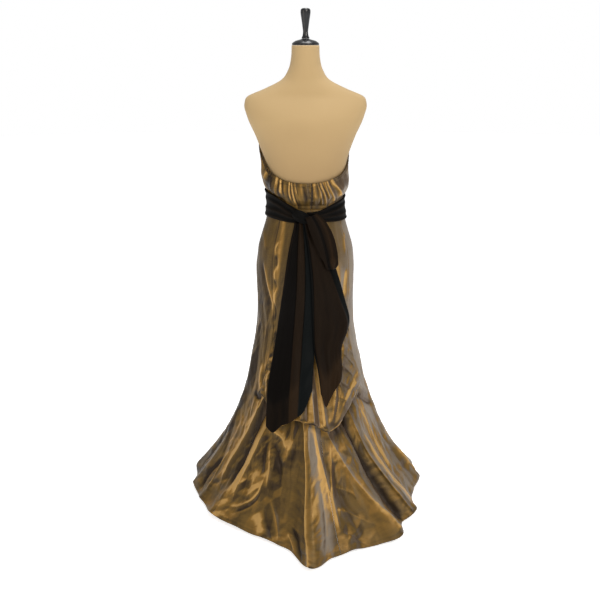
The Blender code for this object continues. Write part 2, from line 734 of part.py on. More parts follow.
def make_tail(name, edges, lower, fold_table, satin):
    """One hanging end of the sash, folded lengthwise, with a slanted lower edge."""
    folds = np.array(fold_table)
    across = folds[:, 0]
    end = smooth(across, lower, 1)
    share = np.linspace(0, 1, TAIL_ROWS)[:, None]
    z = TAIL_TOP_Z + (end - TAIL_TOP_Z) * share
    x = smooth(z, edges, 1) * (1 - across) + smooth(z, edges, 2) * across
    depth = back_depth(TAIL_SPREAD * x, z) + TAIL_OFF + folds[:, 1]
    grid = np.stack([x, -depth, z], axis=-1)
    cloth(name, grid, facing(grid), satin)


def make_loop(satin):
    """The loop of the half bow: down its outer layer, round the end and up its inner layer."""
    table = LOOP_PATH
    down = np.linspace(table[-1][0], table[0][0], LOOP_ROWS)
    heights = np.concatenate([down, [down[-1] - LOOP_TURN], down[::-1]])
    layer = np.concatenate([np.full(LOOP_ROWS, 1.0), [0.5], np.full(LOOP_ROWS, 0.0)])
    z = np.clip(heights, table[0][0], None)
    across = np.array([-1.0, -0.35, 0.35, 1.0])
    slope = (smooth(z + 0.002, table, 1) - smooth(z - 0.002, table, 1)) / 0.004
    tilt = np.arctan(slope)
    half = smooth(z, table, 2)
    x = smooth(z, table, 1)[:, None] + np.cos(tilt)[:, None] * half[:, None] * across
    height = heights[:, None] - np.sin(tilt)[:, None] * half[:, None] * across
    under = back_depth(TAIL_SPREAD * x, height) + TAIL_OFF + LOOP_OFF
    depth = under + WALL + LOOP_LAYERS + LOOP_DEPTH * layer[:, None] * (1 - LOOP_CUP * across**2)
    grid = np.stack([x, -depth, height], axis=-1)
    cloth("sash_loop", grid, facing(grid), satin)


def make_knot(satin):
    """The tied knot: a flat rounded lump over the band's ends, slanting down to the right."""
    tip = math.pi * np.arange(1, KNOT_RINGS)[:, None] / KNOT_RINGS
    turn = 2 * math.pi * np.arange(KNOT_SIDES)[None, :] / KNOT_SIDES
    girth = np.sin(tip) ** KNOT_FULL * (1.0 + KNOT_DENT * np.cos(3 * turn))
    along = KNOT_HALF[0] * np.cos(tip) + 0 * turn
    across = KNOT_HALF[2] * girth * np.sin(turn)
    slant = math.radians(KNOT_SLANT)
    x = along * math.cos(slant) - across * math.sin(slant)
    z = along * math.sin(slant) + across * math.cos(slant)
    rings = np.stack([x, KNOT_HALF[1] * girth * np.cos(turn), z], axis=-1)
    end = np.array([KNOT_HALF[0] * math.cos(slant), 0.0, KNOT_HALF[0] * math.sin(slant)])
    points = np.concatenate([rings.reshape(-1, 3), [end, -end]]) + np.array(KNOT_CENTRE)
    right, left = len(points) - 2, len(points) - 1
    last = (KNOT_RINGS - 2) * KNOT_SIDES
    faces = []
    for side in range(KNOT_SIDES):
        after = (side + 1) % KNOT_SIDES
        for ring in range(KNOT_RINGS - 2):
            first = ring * KNOT_SIDES
            below = first + KNOT_SIDES
            faces.append((first + after, first + side, below + side, below + after))
        faces.append((right, side, after))
        faces.append((left, last + after, last + side))
    add_object("sash_knot", points, faces, satin)


def main():
    for old in list(bpy.data.objects):
        bpy.data.objects.remove(old)
    jersey = material("cotton jersey", (0.80, 0.69, 0.51), 0.8)
    lacquer = material("black lacquered wood", (0.06, 0.06, 0.07), 0.3)
    steel = material("painted steel", (0.08, 0.08, 0.09), 0.4)
    taffeta = material("shot taffeta", (0.46, 0.36, 0.19), 0.4)
    tape = material("zip tape", (0.33, 0.27, 0.16), 0.7)
    satin = material("sash satin", (0.11, 0.085, 0.065), 0.35)
    make_form(jersey, lacquer, steel)
    make_skirt(taffeta)
    make_bodice(taffeta, tape)
    make_band(satin)
    make_tail("sash_tail_left", TAIL_LEFT, TAIL_LEFT_END, TAIL_LEFT_FOLDS, satin)
    make_tail("sash_tail_right", TAIL_RIGHT, TAIL_RIGHT_END, TAIL_RIGHT_FOLDS, satin)
    make_loop(satin)
    make_knot(satin)


main()
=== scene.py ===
"""Evening gown of shot taffeta with a satin sash, on a limbless dress form and a plain stand.

Sizes are in metres, +Z is up, and the origin is on the floor under the stand's pole. The gown's
back and train face -Y. Angles round the figure are in degrees from the centre back: 0 is -Y,
90 is +X, 180 is +Y.

Every cloth piece is a skin: a function of an angle (or a share across) and a place (how far
down the piece a row lies). Its points are worked out on a grid, creases and crisp
facets lift them along the skin's own normals, and a second grid one thickness inside closes the
piece with a rim.
"""

import logging
import math
from collections.abc import Callable, Sequence
from dataclasses import dataclass, field
from enum import Enum

import bpy
import numpy as np
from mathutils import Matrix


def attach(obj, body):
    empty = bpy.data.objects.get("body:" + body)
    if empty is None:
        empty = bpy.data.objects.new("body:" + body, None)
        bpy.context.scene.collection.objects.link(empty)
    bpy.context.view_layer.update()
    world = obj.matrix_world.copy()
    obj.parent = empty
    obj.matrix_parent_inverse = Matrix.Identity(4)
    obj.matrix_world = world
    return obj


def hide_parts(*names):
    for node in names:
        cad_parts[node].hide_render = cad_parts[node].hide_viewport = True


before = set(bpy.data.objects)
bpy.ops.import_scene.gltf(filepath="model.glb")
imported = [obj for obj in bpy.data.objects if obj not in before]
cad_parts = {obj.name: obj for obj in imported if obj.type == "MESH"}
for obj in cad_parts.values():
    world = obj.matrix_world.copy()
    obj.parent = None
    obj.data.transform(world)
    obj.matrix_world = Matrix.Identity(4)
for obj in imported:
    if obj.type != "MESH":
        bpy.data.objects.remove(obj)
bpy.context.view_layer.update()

log = logging.getLogger("evening_gown")

Array = np.ndarray
Skin = Callable[[Array, Array], Array]
Socket = bpy.types.NodeSocket

BODY = "root"                   # the gown has no moving part, so one body carries everything
SEAM = 0.0004                   # gap between two panels at their seam
TURNED_SIDES = 72               # columns round a turned solid
WAIST_Z = 1.003                 # height of the waist seam
SEAM_SIDE = 90.0                # side seams, in degrees from the centre back
SEAM_BACK_LEFT = -48.0          # princess seam at the left of the back
SEAM_BACK_RIGHT = 66.0          # princess seam at the right of the back
SEAM_CENTRE = 12.0              # centre-back seam


class Slot(Enum):
    """The record's material slots."""

    TAFFETA = "shot_taffeta"
    SATIN = "sash_satin"
    TAPE = "zip_tape"
    JERSEY = "form_jersey"
    LACQUER = "black_lacquer"
    STEEL = "stand_steel"


class Held(Enum):
    """How a sheet of cloth is held."""

    DRAPED = "draped"
    HUNG = "hung"
    GATHERED = "gathered"
    FOLDED = "folded"


# ---------------------------------------------------------------- curves and noise

def cubic(at: Array | float, x: Array, y: Array) -> Array:
    """Reads y at these values of x along a cubic whose slope at each row is the mean of its sides.

    Args:
        at: Where to read; values past the ends take the end's value.
        x: Rising places.
        y: The value at each place.

    Returns:
        The value at each place asked for.
    """
    slope = np.gradient(y, x)
    at = np.clip(np.asarray(at, float), x[0], x[-1])
    i = np.clip(np.searchsorted(x, at, side="right") - 1, 0, len(x) - 2)
    h = x[i + 1] - x[i]
    t = (at - x[i]) / h
    start = (2 * t**3 - 3 * t**2 + 1) * y[i] + (t**3 - 2 * t**2 + t) * h * slope[i]
    end = (3 * t**2 - 2 * t**3) * y[i + 1] + (t**3 - t**2) * h * slope[i + 1]
    return start + end


@dataclass(frozen=True)
class Table:
    """A short table with named columns, read along its first one."""

    columns: tuple[str, ...]
    rows: tuple[tuple[float, ...], ...]

    def read(self, at: Array | float, column: str) -> Array:
        """The named column, smooth between its rows, at these values of the first column."""
        rows = np.array(self.rows, float)
        rows = rows[np.argsort(rows[:, 0])]
        return cubic(at, rows[:, 0], rows[:, self.columns.index(column)])


def turned(angle: Array | float) -> Array:
    """The same angle between -180 and 180 degrees."""
    return (np.asarray(angle, float) + 180.0) % 360.0 - 180.0


def ease(t: Array | float) -> Array:
    """0 before 0, 1 after 1, and smooth between them."""
    t = np.clip(t, 0.0, 1.0)
    return t * t * (3 - 2 * t)


def outward(angle: Array | float) -> Array:
    """The level direction away from the axis at these angles."""
    a = np.radians(angle)
    return np.stack([np.sin(a), -np.cos(a), 0 * a], axis=-1)


def around(angle: Array, radius: Array, z: Array) -> Array:
    """Points at these angles, distances from the axis and heights."""
    angle, radius, z = np.broadcast_arrays(angle, radius, z)
    points = outward(angle) * radius[..., None]
    points[..., 2] = z
    return points


def oval(angle: Array, width: Array, back: Array, front: Array) -> Array:
    """Distance from the axis to an oval with these half sizes."""
    a = np.radians(angle)
    depth = np.where(np.cos(a) > 0, back, front)
    return 1.0 / np.sqrt((np.sin(a) / width) ** 2 + (np.cos(a) / depth) ** 2)


def hashed(x: Array, y: Array, seed: int) -> Array:
    """A repeatable number from 0 to 1 for each whole-number cell: the fraction of a large sine."""
    value = np.sin(x * 127.1 + y * 311.7 + seed * 74.7) * 43758.5453
    return value - np.floor(value)


def drift(u: Array, v: Array, size: float, seed: int) -> Array:
    """Smooth noise from -1 to 1: a random height at each corner of a square net, eased between them.

    Args:
        u: Distance across the cloth.
        v: Distance down the cloth.
        size: Size of the net's squares.
        seed: Picks one pattern.

    Returns:
        The noise at each point.
    """
    x, y = u / size, v / size
    cx, cy = np.floor(x), np.floor(y)
    fx, fy = ease(x - cx), ease(y - cy)
    top = hashed(cx, cy, seed) * (1 - fx) + hashed(cx + 1, cy, seed) * fx
    low = hashed(cx, cy + 1, seed) * (1 - fx) + hashed(cx + 1, cy + 1, seed) * fx
    return 2 * (top * (1 - fy) + low * fy) - 1


def facets(u: Array, v: Array, size: float, seed: int) -> Array:
    """Crisp creased cloth: a random height at each corner of a net of triangles, joined by flat
    facets that meet in straight sharp creases.

    Args:
        u: Distance across the cloth.
        v: Distance down the cloth.
        size: Size of the net's squares, each cut into two triangles along either diagonal.
        seed: Picks one pattern.

    Returns:
        A height from -1 to 1 at each point.
    """
    x, y = u / size, v / size
    cx, cy = np.floor(x), np.floor(y)
    fx, fy = x - cx, y - cy
    mirrored = (hashed(cx, cy, seed + 29) > 0.5) * 1.0
    fx = fx + mirrored * (1 - 2 * fx)
    top, top_far = hashed(cx + mirrored, cy, seed), hashed(cx + 1 - mirrored, cy, seed)
    low, low_far = hashed(cx + mirrored, cy + 1, seed), hashed(cx + 1 - mirrored, cy + 1, seed)
    upper = top + (top_far - top) * fx + (low - top) * fy
    lower = low_far + (low - low_far) * (1 - fx) + (top_far - low_far) * (1 - fy)
    return 2 * np.where(fx + fy < 1, upper, lower) - 1


# ---------------------------------------------------------------- creases

@dataclass(frozen=True)
class Crease:
    """One ridge or trough laid along a path over a skin.

    Its path is (angle, place) pairs. Its height across the path is its lift times
    exp(-(distance / width) ** sharp), and it fades in and out over shares of its length. A lean
    below 1 makes the side on the left of a downward path steeper. tone makes it more golden (or
    browner, below 0) and cool more lilac. On a ridge the tone is a painted highlight and in a
    trough a painted shade.
    """

    path: tuple[tuple[float, float], ...]
    lift_mm: float
    width_mm: float
    sharp: float = 1.3
    lean: float = 1.0
    tone: float = 0.0
    cool: float = 0.0
    fade: tuple[float, float] = (0.25, 0.25)

    def weight(self, skin: Skin, points: Array) -> Array:
        """How strongly the crease acts on each point, from 0 to 1.

        Each point takes the nearest of eight short straight runs for every leg of the path.

        Args:
            skin: The surface that the path lies on.
            points: The grid's points on that surface.

        Returns:
            One weight for each point.
        """
        knots = np.array(self.path, float)
        at_knot = np.arange(len(knots), dtype=float)
        steps = np.linspace(0, len(knots) - 1, 8 * (len(knots) - 1) + 1)
        way_angle, way_place = (cubic(steps, at_knot, knots[:, c]) for c in (0, 1))
        line = skin(way_angle, way_place)
        out = outward(way_angle)
        width = self.width_mm / 1000
        reach = 3.2 * width * max(1.0, self.lean)
        near = np.all((points > line.min(axis=0) - reach) & (points < line.max(axis=0) + reach), axis=-1)
        found = np.zeros(points.shape[:-1])
        close = points[near]
        if not len(close):
            return found
        best = np.full(len(close), np.inf)
        along, side = np.zeros(len(close)), np.ones(len(close))
        for i in range(len(line) - 1):
            run = line[i + 1] - line[i]
            share = np.clip((close - line[i]) @ run / (run @ run), 0, 1)
            away = close - line[i] - share[:, None] * run
            distance = np.linalg.norm(away, axis=1)
            nearer = distance < best
            best = np.where(nearer, distance, best)
            along = np.where(nearer, (i + share) / (len(line) - 1), along)
            side = np.where(nearer, np.sign(away @ np.cross(run, out[i])), side)
        width = np.where(side > 0, width * self.lean, width)
        start, end = self.fade
        fading = ease(along / max(start, 1e-6)) * ease((1 - along) / max(end, 1e-6))
        found[near] = fading * np.exp(-((best / width) ** self.sharp))
        return found


@dataclass
class Dressing:
    """What creases add to a grid: height along the normal, and the two tints."""

    lift: Array
    tone: Array
    cool: Array

    @classmethod
    def of(cls, creases: Sequence[Crease], skin: Skin, points: Array) -> "Dressing":
        """The sum of these creases over a grid.

        Args:
            creases: The creases to lay.
            skin: The surface that they lie on.
            points: The grid's points on that surface.

        Returns:
            The lift and tints at each point.
        """
        zero = np.zeros(points.shape[:-1])
        made = cls(zero.copy(), zero.copy(), zero.copy())
        for crease in creases:
            weight = crease.weight(skin, points)
            made.lift += crease.lift_mm / 1000 * weight
            made.tone += crease.tone * weight
            made.cool += crease.cool * weight
        return made


# ---------------------------------------------------------------- meshes

def make_mesh(name: str, points: Array, faces: Sequence[Array]) -> bpy.types.Object:
    """One smooth-shaded object at the origin.

    Args:
        name: Name of the piece.
        points: Its points, one row each.
        faces: Arrays of faces, each with one row of point numbers per face.

    Returns:
        The new object.
    """
    mesh = bpy.data.meshes.new(name)
    corners = np.concatenate([block.ravel() for block in faces]).astype(np.int32)
    counts = np.concatenate([np.full(len(block), block.shape[1]) for block in faces])
    mesh.vertices.add(len(points))
    mesh.vertices.foreach_set("co", points.astype(np.float32).ravel())
    mesh.loops.add(len(corners))
    mesh.loops.foreach_set("vertex_index", corners)
    mesh.polygons.add(len(counts))
    mesh.polygons.foreach_set("loop_start", (np.cumsum(counts) - counts).astype(np.int32))
    mesh.update(calc_edges=True)
    mesh.shade_smooth()
    made = bpy.data.objects.new(name, mesh)
    bpy.context.scene.collection.objects.link(made)
    return made


def grid_quads(rows: int, columns: int, closed: bool = False) -> Array:
    """Faces of a grid listed row by row, whose rows run down and whose columns go to the right."""
    r = np.arange(rows - 1)[:, None]
    c = np.arange(columns if closed else columns - 1)[None, :]
    beside = (c + 1) % columns
    a, b = r * columns + c, r * columns + beside
    quads = np.stack([a, a + columns, b + columns, b], axis=-1)
    return quads.reshape(-1, 4)


def rim_quads(rows: int, columns: int, inner: int) -> Array:
    """The faces that join the border of a grid to the inner grid that starts at point number inner."""
    across, down = np.arange(columns), np.arange(rows)
    right, bottom = down[1:] * columns + columns - 1, (rows - 1) * columns + across[-2::-1]
    loop = np.concatenate([across, right, bottom, down[-2:0:-1] * columns])
    after = np.roll(loop, -1)
    return np.stack([loop, after, inner + after, inner + loop], axis=-1)


def facing(grid: Array) -> Array:
    """Unit vectors out of a grid whose rows run down and whose columns go to the right."""
    down, across = np.gradient(grid, axis=0), np.gradient(grid, axis=1)
    found = np.cross(across, -down)
    return found / np.maximum(np.linalg.norm(found, axis=2, keepdims=True), 1e-12)


def skin_normals(skin: Skin, angle: Array, place: Array) -> Array:
    """Unit vectors out of a skin at each angle and place, the same from whichever panel asks.

    They come from small steps to each side of every point.
    """
    step_angle, step_place = 0.25, 0.002
    across = skin(angle + step_angle, place) - skin(angle - step_angle, place)
    down = skin(angle, place + step_place) - skin(angle, place - step_place)
    found = np.cross(across, -down)
    return found / np.maximum(np.linalg.norm(found, axis=-1, keepdims=True), 1e-12)


def measured(grid: Array) -> tuple[Array, Array]:
    """Distance across (from the middle column) and down (from the top row) to each point of a grid."""
    across = np.linalg.norm(np.diff(grid, axis=1, prepend=grid[:, :1]), axis=2).cumsum(axis=1)
    down = np.linalg.norm(np.diff(grid, axis=0, prepend=grid[:1]), axis=2).cumsum(axis=0)
    middle = grid.shape[1] // 2
    return across - across[:, middle:middle + 1], down


@dataclass
class ClothPiece:
    """One cut of cloth: its outer face as a grid, its tints, and its thickness."""

    node: str
    outer: Array
    thickness: float
    tone: Array
    cool: Array
    held: Held = Held.HUNG
    rests_on: tuple[str, ...] = ("form_torso",)
    floor_z: float = 0.0005     # its inner face goes no lower

    def build(self, finish: bpy.types.Material, slot: Slot) -> bpy.types.Object:
        """The UV map holds distances along the cloth in metres, so that a weave keeps its real
        size.

        Args:
            finish: The cloth's material.
            slot: The record's slot for it. Not used.

        Returns:
            The finished piece.
        """
        rows, columns = self.outer.shape[:2]
        count = rows * columns
        inner = self.outer - facing(self.outer) * self.thickness
        inner[..., 2] = np.maximum(inner[..., 2], self.floor_z)
        points = np.concatenate([self.outer.reshape(-1, 3), inner.reshape(-1, 3)])
        quads = grid_quads(rows, columns)
        made = make_mesh(
            f"{self.node}_cloth", points, [quads, quads[:, ::-1] + count, rim_quads(rows, columns, count)]
        )
        across, down = measured(self.outer)
        thread = np.tile(np.stack([across, -down], axis=-1).reshape(-1, 2), (2, 1))
        corner = np.zeros(len(made.data.loops), np.int32)
        made.data.loops.foreach_get("vertex_index", corner)
        made.data.uv_layers.new(name="thread").data.foreach_set("uv", thread[corner].ravel())
        add_tint(made, "tone", np.tile(self.tone.ravel(), 2))
        add_tint(made, "cool", np.tile(self.cool.ravel(), 2))
        made.data.materials.append(finish)
        enlist(made, self.node)
        return made


def add_tint(made: bpy.types.Object, name: str, values: Array) -> None:
    """Gives every point of a piece its value of one tint."""
    layer = made.data.attributes.new(name, "FLOAT", "POINT")
    layer.data.foreach_set("value", values.astype(np.float32))


def open_seams(points: Array, angle: Array) -> None:
    """Moves a panel's first and last columns half a seam's gap inwards."""
    for column, sign in ((0, 1.0), (-1, -1.0)):
        a = np.radians(angle[0, column])
        points[:, column] += np.array([np.cos(a), np.sin(a), 0.0]) * sign * SEAM / 2


def enlist(made: bpy.types.Object, node: str) -> None:
    """Says that a finished piece rides on the body and stands for its node."""
    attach(made, BODY)
    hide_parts(node)


def turned_piece(
    node: str, profile: Sequence[tuple[float, float]], centre_y: float, finish: bpy.types.Material,
    edge: float = 0.0015,
) -> bpy.types.Object:
    """A solid turned about a vertical axis, with its corners rounded.

    The profile's corners are replaced by short cubic arcs: two points one edge away along each
    side and their weighted middle.

    Args:
        node: The node that it stands for.
        profile: (height, radius) pairs from the bottom up.
        centre_y: Where the axis stands.
        finish: Its material.
        edge: Size of the rounded corners.

    Returns:
        The finished piece.
    """
    corners = np.array(profile, float)
    path = [corners[0]]
    for before, here, after in zip(corners, corners[1:], corners[2:]):
        back, on = before - here, after - here
        reach = min(edge, 0.4 * np.linalg.norm(back), 0.4 * np.linalg.norm(on))
        start, end = here + back / np.linalg.norm(back) * reach, here + on / np.linalg.norm(on) * reach
        path += [start, 0.25 * start + 0.5 * here + 0.25 * end, end]
    path = np.array([*path, corners[-1]])[::-1]
    turn = np.linspace(0, 360, TURNED_SIDES, endpoint=False)
    rings = around(turn[None, :], path[:, 1:], path[:, :1])
    rings[..., 1] += centre_y
    made = ringed_solid(f"{node}_turned", rings)
    made.data.materials.append(finish)
    enlist(made, node)
    log.info("%s: %d rings of %d", made.name, len(path), TURNED_SIDES)
    return made


def ringed_solid(name: str, rings: Array) -> bpy.types.Object:
    """A closed solid from rings listed from the top down, with a fan of triangles at each end."""
    count, sides = rings.shape[:2]
    points = np.concatenate([rings.reshape(-1, 3), rings[0].mean(axis=0)[None], rings[-1].mean(axis=0)[None]])
    first, after = np.arange(sides), (np.arange(sides) + 1) % sides
    last = (count - 1) * sides
    top = np.stack([first, after, np.full(sides, count * sides)], axis=-1)
    low = np.stack([last + after, last + first, np.full(sides, count * sides + 1)], axis=-1)
    return make_mesh(name, points, [grid_quads(count, sides, closed=True), top, low])


# ---------------------------------------------------------------- finishes

def linear(code: str) -> tuple[float, float, float, float]:
    """An sRGB hex colour as linear values with full opacity."""
    parts = [int(code[i:i + 2], 16) / 255 for i in (1, 3, 5)]
    red, green, blue = (c / 12.92 if c <= 0.04045 else ((c + 0.055) / 1.055) ** 2.4 for c in parts)
    return (red, green, blue, 1.0)


def add_node(
    tree: bpy.types.NodeTree, kind: str, inputs: dict | None = None, **settings: object
) -> bpy.types.Node:
    """Adds one node.

    Args:
        tree: The tree it goes in.
        kind: The node's type name.
        inputs: A value, or a socket to link from, for each input by name or number.
        settings: The node's own properties.

    Returns:
        The new node.
    """
    node = tree.nodes.new(kind)
    for name, value in settings.items():
        setattr(node, name, value)
    for key, value in (inputs or {}).items():
        if isinstance(value, Socket):
            tree.links.new(value, node.inputs[key])
        else:
            node.inputs[key].default_value = value
    return node


SHADER_INPUTS = {
    "roughness": "Roughness", "metallic": "Metallic", "gloss": "Specular IOR Level", "sheen": "Sheen Weight",
}


class Recipe:
    """A new material, with short calls for the nodes that the finishes are made of."""

    def __init__(self, name: str) -> None:
        """Starts the material with its Principled shader and no bump."""
        self.material = bpy.data.materials.new(name)
        self.material.use_nodes = True
        self.tree = self.material.node_tree
        self.bumped: Socket | None = None

    def add(self, kind: str, inputs: dict | None = None, **settings: object) -> bpy.types.NodeOutputs:
        """Adds one shader node and gives its outputs."""
        return add_node(self.tree, f"ShaderNode{kind}", inputs, **settings).outputs

    def place(self) -> Socket:
        """Object coordinates, in metres."""
        return self.add("TexCoord")["Object"]

    def thread(self) -> Socket:
        """Distances along the cloth's threads, in metres."""
        return self.add("UVMap", uv_map="thread")["UV"]

    def tint(self, name: str) -> Socket:
        """The piece's attribute of this name."""
        return self.add("Attribute", attribute_name=name)["Fac"]

    def scaled(self, vector: Socket, across: float, down: float) -> Socket:
        """A map with this many units to the metre, across and down."""
        return self.add("Mapping", {"Vector": vector, "Scale": (across, down, 1.0)})["Vector"]

    def noise(self, vector: Socket, detail: float, scale: float = 1.0, distortion: float = 0.0) -> Socket:
        """Cloudy noise from 0 to 1."""
        inputs = {"Vector": vector, "Scale": scale, "Detail": detail, "Distortion": distortion}
        return self.add("TexNoise", inputs)["Fac"]

    def weighed(self, start: Socket, offset: float, *terms: tuple[Socket, float]) -> Socket:
        """A start and an offset, plus some sockets times their weights."""
        total = self.add("Math", {0: start, 1: offset}, operation="ADD")["Value"]
        for socket, weight in terms:
            total = self.add("Math", {0: socket, 1: weight, 2: total}, operation="MULTIPLY_ADD")["Value"]
        return total

    def ramp(self, value: Socket, *stops: tuple[float, str]) -> Socket:
        """A colour ramp through (place, sRGB hex) stops."""
        node = add_node(self.tree, "ShaderNodeValToRGB", {"Fac": value})
        elements = node.color_ramp.elements
        while len(elements) > 1:
            elements.remove(elements[-1])
        elements[0].position, elements[0].color = stops[0][0], linear(stops[0][1])
        for place, code in stops[1:]:
            elements.new(place).color = linear(code)
        return node.outputs["Color"]

    def blend(self, share: Socket, first: Socket, second: Socket | tuple[float, ...]) -> Socket:
        """The first colour turned into the second by this share."""
        return self.add("Mix", {0: share, 6: first, 7: second}, data_type="RGBA")[2]

    def bump(self, height: Socket, strength: float, depth_mm: float) -> None:
        """Lays one more bump over those before it."""
        inputs = {"Height": height, "Strength": strength, "Distance": depth_mm / 1000}
        if self.bumped:
            inputs["Normal"] = self.bumped
        self.bumped = self.add("Bump", inputs)["Normal"]

    def done(self, colour: Socket, **values: float) -> bpy.types.Material:
        """Joins the colour and the bumps to the shader, and sets the inputs of these names."""
        inputs = self.tree.nodes["Principled BSDF"].inputs
        self.tree.links.new(colour, inputs["Base Color"])
        self.tree.links.new(self.bumped, inputs["Normal"])
        for name, value in values.items():
            inputs[SHADER_INPUTS[name]].default_value = value
        return self.material


@dataclass(frozen=True)
class ShotTaffeta:
    """Silk taffeta woven from brown warp and gold and lilac weft, whose plain weave with its slubs gives
    a crisp, paper-like sheen. Its colour is partly the shot weave and partly painted light: the tone
    tint and the cloth's slope choose between shaded and lit copies from dark brown to pale gold, so
    cloth that faces up is painted lighter, and cloth that faces right is painted lilac."""

    # dark to pale: the cloth's browns and golds as shaded and lit copies, painted shade and painted light
    dark: str = "#241809"
    brown: str = "#453519"
    olive: str = "#5e4922"
    gold: str = "#7f5f2a"
    pale: str = "#b28d52"
    lilac: str = "#857a6c"
    shade: str = "#564636"
    slub_mm: float = 3.0        # real slubs are finer; these are as coarse as they need to show
    thread_mm: float = 0.9      # likewise

    def make(self) -> bpy.types.Material:
        """Builds the material from the thread map, the cloth's slope and its two tints."""
        cloth = Recipe("shot silk taffeta")
        thread, tone, cool = cloth.thread(), cloth.tint("tone"), cloth.tint("cool")
        slope = cloth.add("SeparateXYZ", {"Vector": cloth.add("TexCoord")["Normal"]})
        slubs = cloth.noise(cloth.scaled(thread, 35.0, 1000.0 / self.slub_mm), 2.0)
        patches = cloth.noise(cloth.place(), 3.0, 11.0, 0.6)
        streaks = cloth.noise(cloth.scaled(thread, 42.0, 5.0), 4.0, distortion=0.4)
        # painted light: the tone tint and an upward slope move the cloth towards its pale, lit copy; patches,
        # streaks and slubs are its own uneven colour
        golden = cloth.weighed(
            tone, 0.09,
            (slope["X"], 0.06), (slope["Z"], 0.20), (patches, 0.18), (streaks, 0.28), (slubs, 0.14),
        )
        warm = cloth.ramp(
            golden,
            (0.04, self.dark), (0.30, self.brown), (0.50, self.olive), (0.74, self.gold), (0.98, self.pale),
        )
        grey = cloth.ramp(golden, (0.05, self.shade), (0.60, self.lilac))
        # painted light: cloth that faces right is turned lilac, and parts with a low tone go greyer as
        # painted shade
        chilled = cloth.weighed(
            cool, -0.48,
            (slope["X"], 0.80), (slope["Z"], -0.20), (patches, 0.25), (streaks, 0.35), (tone, -0.45),
        )
        chilled = cloth.add(
            "MapRange", {"Value": chilled, "From Max": 0.80}, interpolation_type="SMOOTHSTEP"
        )["Result"]
        crinkle = {"Vector": cloth.scaled(thread, 34.0, 20.0), "Scale": 1.0}
        threads = 1000.0 / self.thread_mm
        weave = {"Vector": cloth.scaled(thread, threads, threads), "Scale": 1.0}
        cloth.bump(cloth.add("TexVoronoi", crinkle, feature="DISTANCE_TO_EDGE")["Distance"], 0.35, 1.2)
        cloth.bump(slubs, 0.30, 0.5)
        cloth.bump(cloth.add("TexChecker", weave)["Fac"], 0.15, 0.2)
        return cloth.done(cloth.blend(chilled, warm, grey), roughness=0.44, metallic=0.30, gloss=0.25)


@dataclass(frozen=True)
class SashSatin:
    """Heavy silk satin, almost black, with soft brown lights on the folds painted in as highlights through
    the tone tint, and a cold blue-black that the cool tint paints on shaded planes.
    """

    deep: str = "#060403"
    brown: str = "#23180d"
    cold: str = "#0b0f10"
    thread_mm: float = 1.2      # finer in the real satin; as coarse as it needs to show

    def make(self) -> bpy.types.Material:
        """Builds the material from the thread map and the two tints."""
        satin = Recipe("heavy silk satin")
        thread = satin.thread()
        streaks = satin.noise(satin.scaled(thread, 30.0, 5.0), 3.0)
        # painted highlight and shade: the tone tint picks a lit brown or a shaded near-black copy, with the
        # satin's own streaks
        amount = satin.weighed(satin.tint("tone"), 0.0, (streaks, 0.4))
        warm = satin.ramp(amount, (0.10, self.deep), (0.70, self.brown))
        satin.bump(satin.noise(satin.scaled(thread, 60.0, 1000.0 / self.thread_mm), 2.0), 0.2, 0.3)
        # the cool tint mixes in the cold blue-black: painted shade on the tails' turned-away planes, and a
        # touch of it over the band and knot
        colour = satin.blend(satin.tint("cool"), warm, linear(self.cold))
        return satin.done(colour, roughness=0.55, gloss=0.05)


@dataclass(frozen=True)
class CottonJersey:
    """Unbleached cotton jersey stretched over a padded form: matt, with a fine knit and faint marking, and a
    painted shade that makes it darker towards the bottom.
    """

    base: str = "#ae9469"
    # the darker colour: faint marking, and the painted shade low on the form
    second_colour: str = "#957b54"
    shade_full_below_z: float = 1.08      # painted shade: full below this height, fading out by the next height up
    shade_gone_above_z: float = 1.34
    knit_mm: float = 1.6        # finer in the real jersey; as coarse as it needs to show

    def make(self) -> bpy.types.Material:
        """Builds the material from object coordinates."""
        jersey = Recipe("unbleached cotton jersey")
        place = jersey.place()
        height = jersey.add("SeparateXYZ", {"Vector": place})["Z"]
        # painted shade: the colour darkens from the upper height down to the lower, with noise for the
        # marking
        span = {"Value": height, "From Min": self.shade_full_below_z, "From Max": self.shade_gone_above_z}
        unshaded_share = jersey.add("MapRange", span)["Result"]
        marks_and_shade = jersey.weighed(unshaded_share, 0.0, (jersey.noise(place, 5.0, 6.0), 0.4))
        jersey.bump(jersey.noise(place, 1.0, 1000.0 / self.knit_mm), 0.25, 0.4)
        return jersey.done(jersey.ramp(marks_and_shade, (0.15, self.second_colour), (1.0, self.base)), roughness=0.85, sheen=0.1)


@dataclass(frozen=True)
class HardFinish:
    """A plain hard finish: a colour that varies a little, a roughness and a fine bump."""

    name: str
    base: str
    second_colour: str
    roughness: float
    grain_mm: float

    def make(self) -> bpy.types.Material:
        """Builds the material from object coordinates."""
        hard = Recipe(self.name)
        grain = hard.noise(hard.place(), 3.0, 1000.0 / self.grain_mm)
        hard.bump(grain, 0.1, 0.2)
        return hard.done(hard.ramp(grain, (0.40, self.base), (0.75, self.second_colour)), roughness=self.roughness)


# Sprayed and polished lacquer on turned wood: a deep black with small soft highlights.
LACQUER = HardFinish("black lacquered wood", "#0e1013", "#17191c", 0.28, 9.0)
# Powder-coated steel tube: black, evenly rough.
STEEL = HardFinish("powder-coated steel", "#151619", "#1d1e21", 0.45, 1.2)
# Woven polyester tape: matt brown, tone in tone with the taffeta.
TAPE = HardFinish("woven zip tape", "#2c2010", "#43331a", 0.75, 1.5)


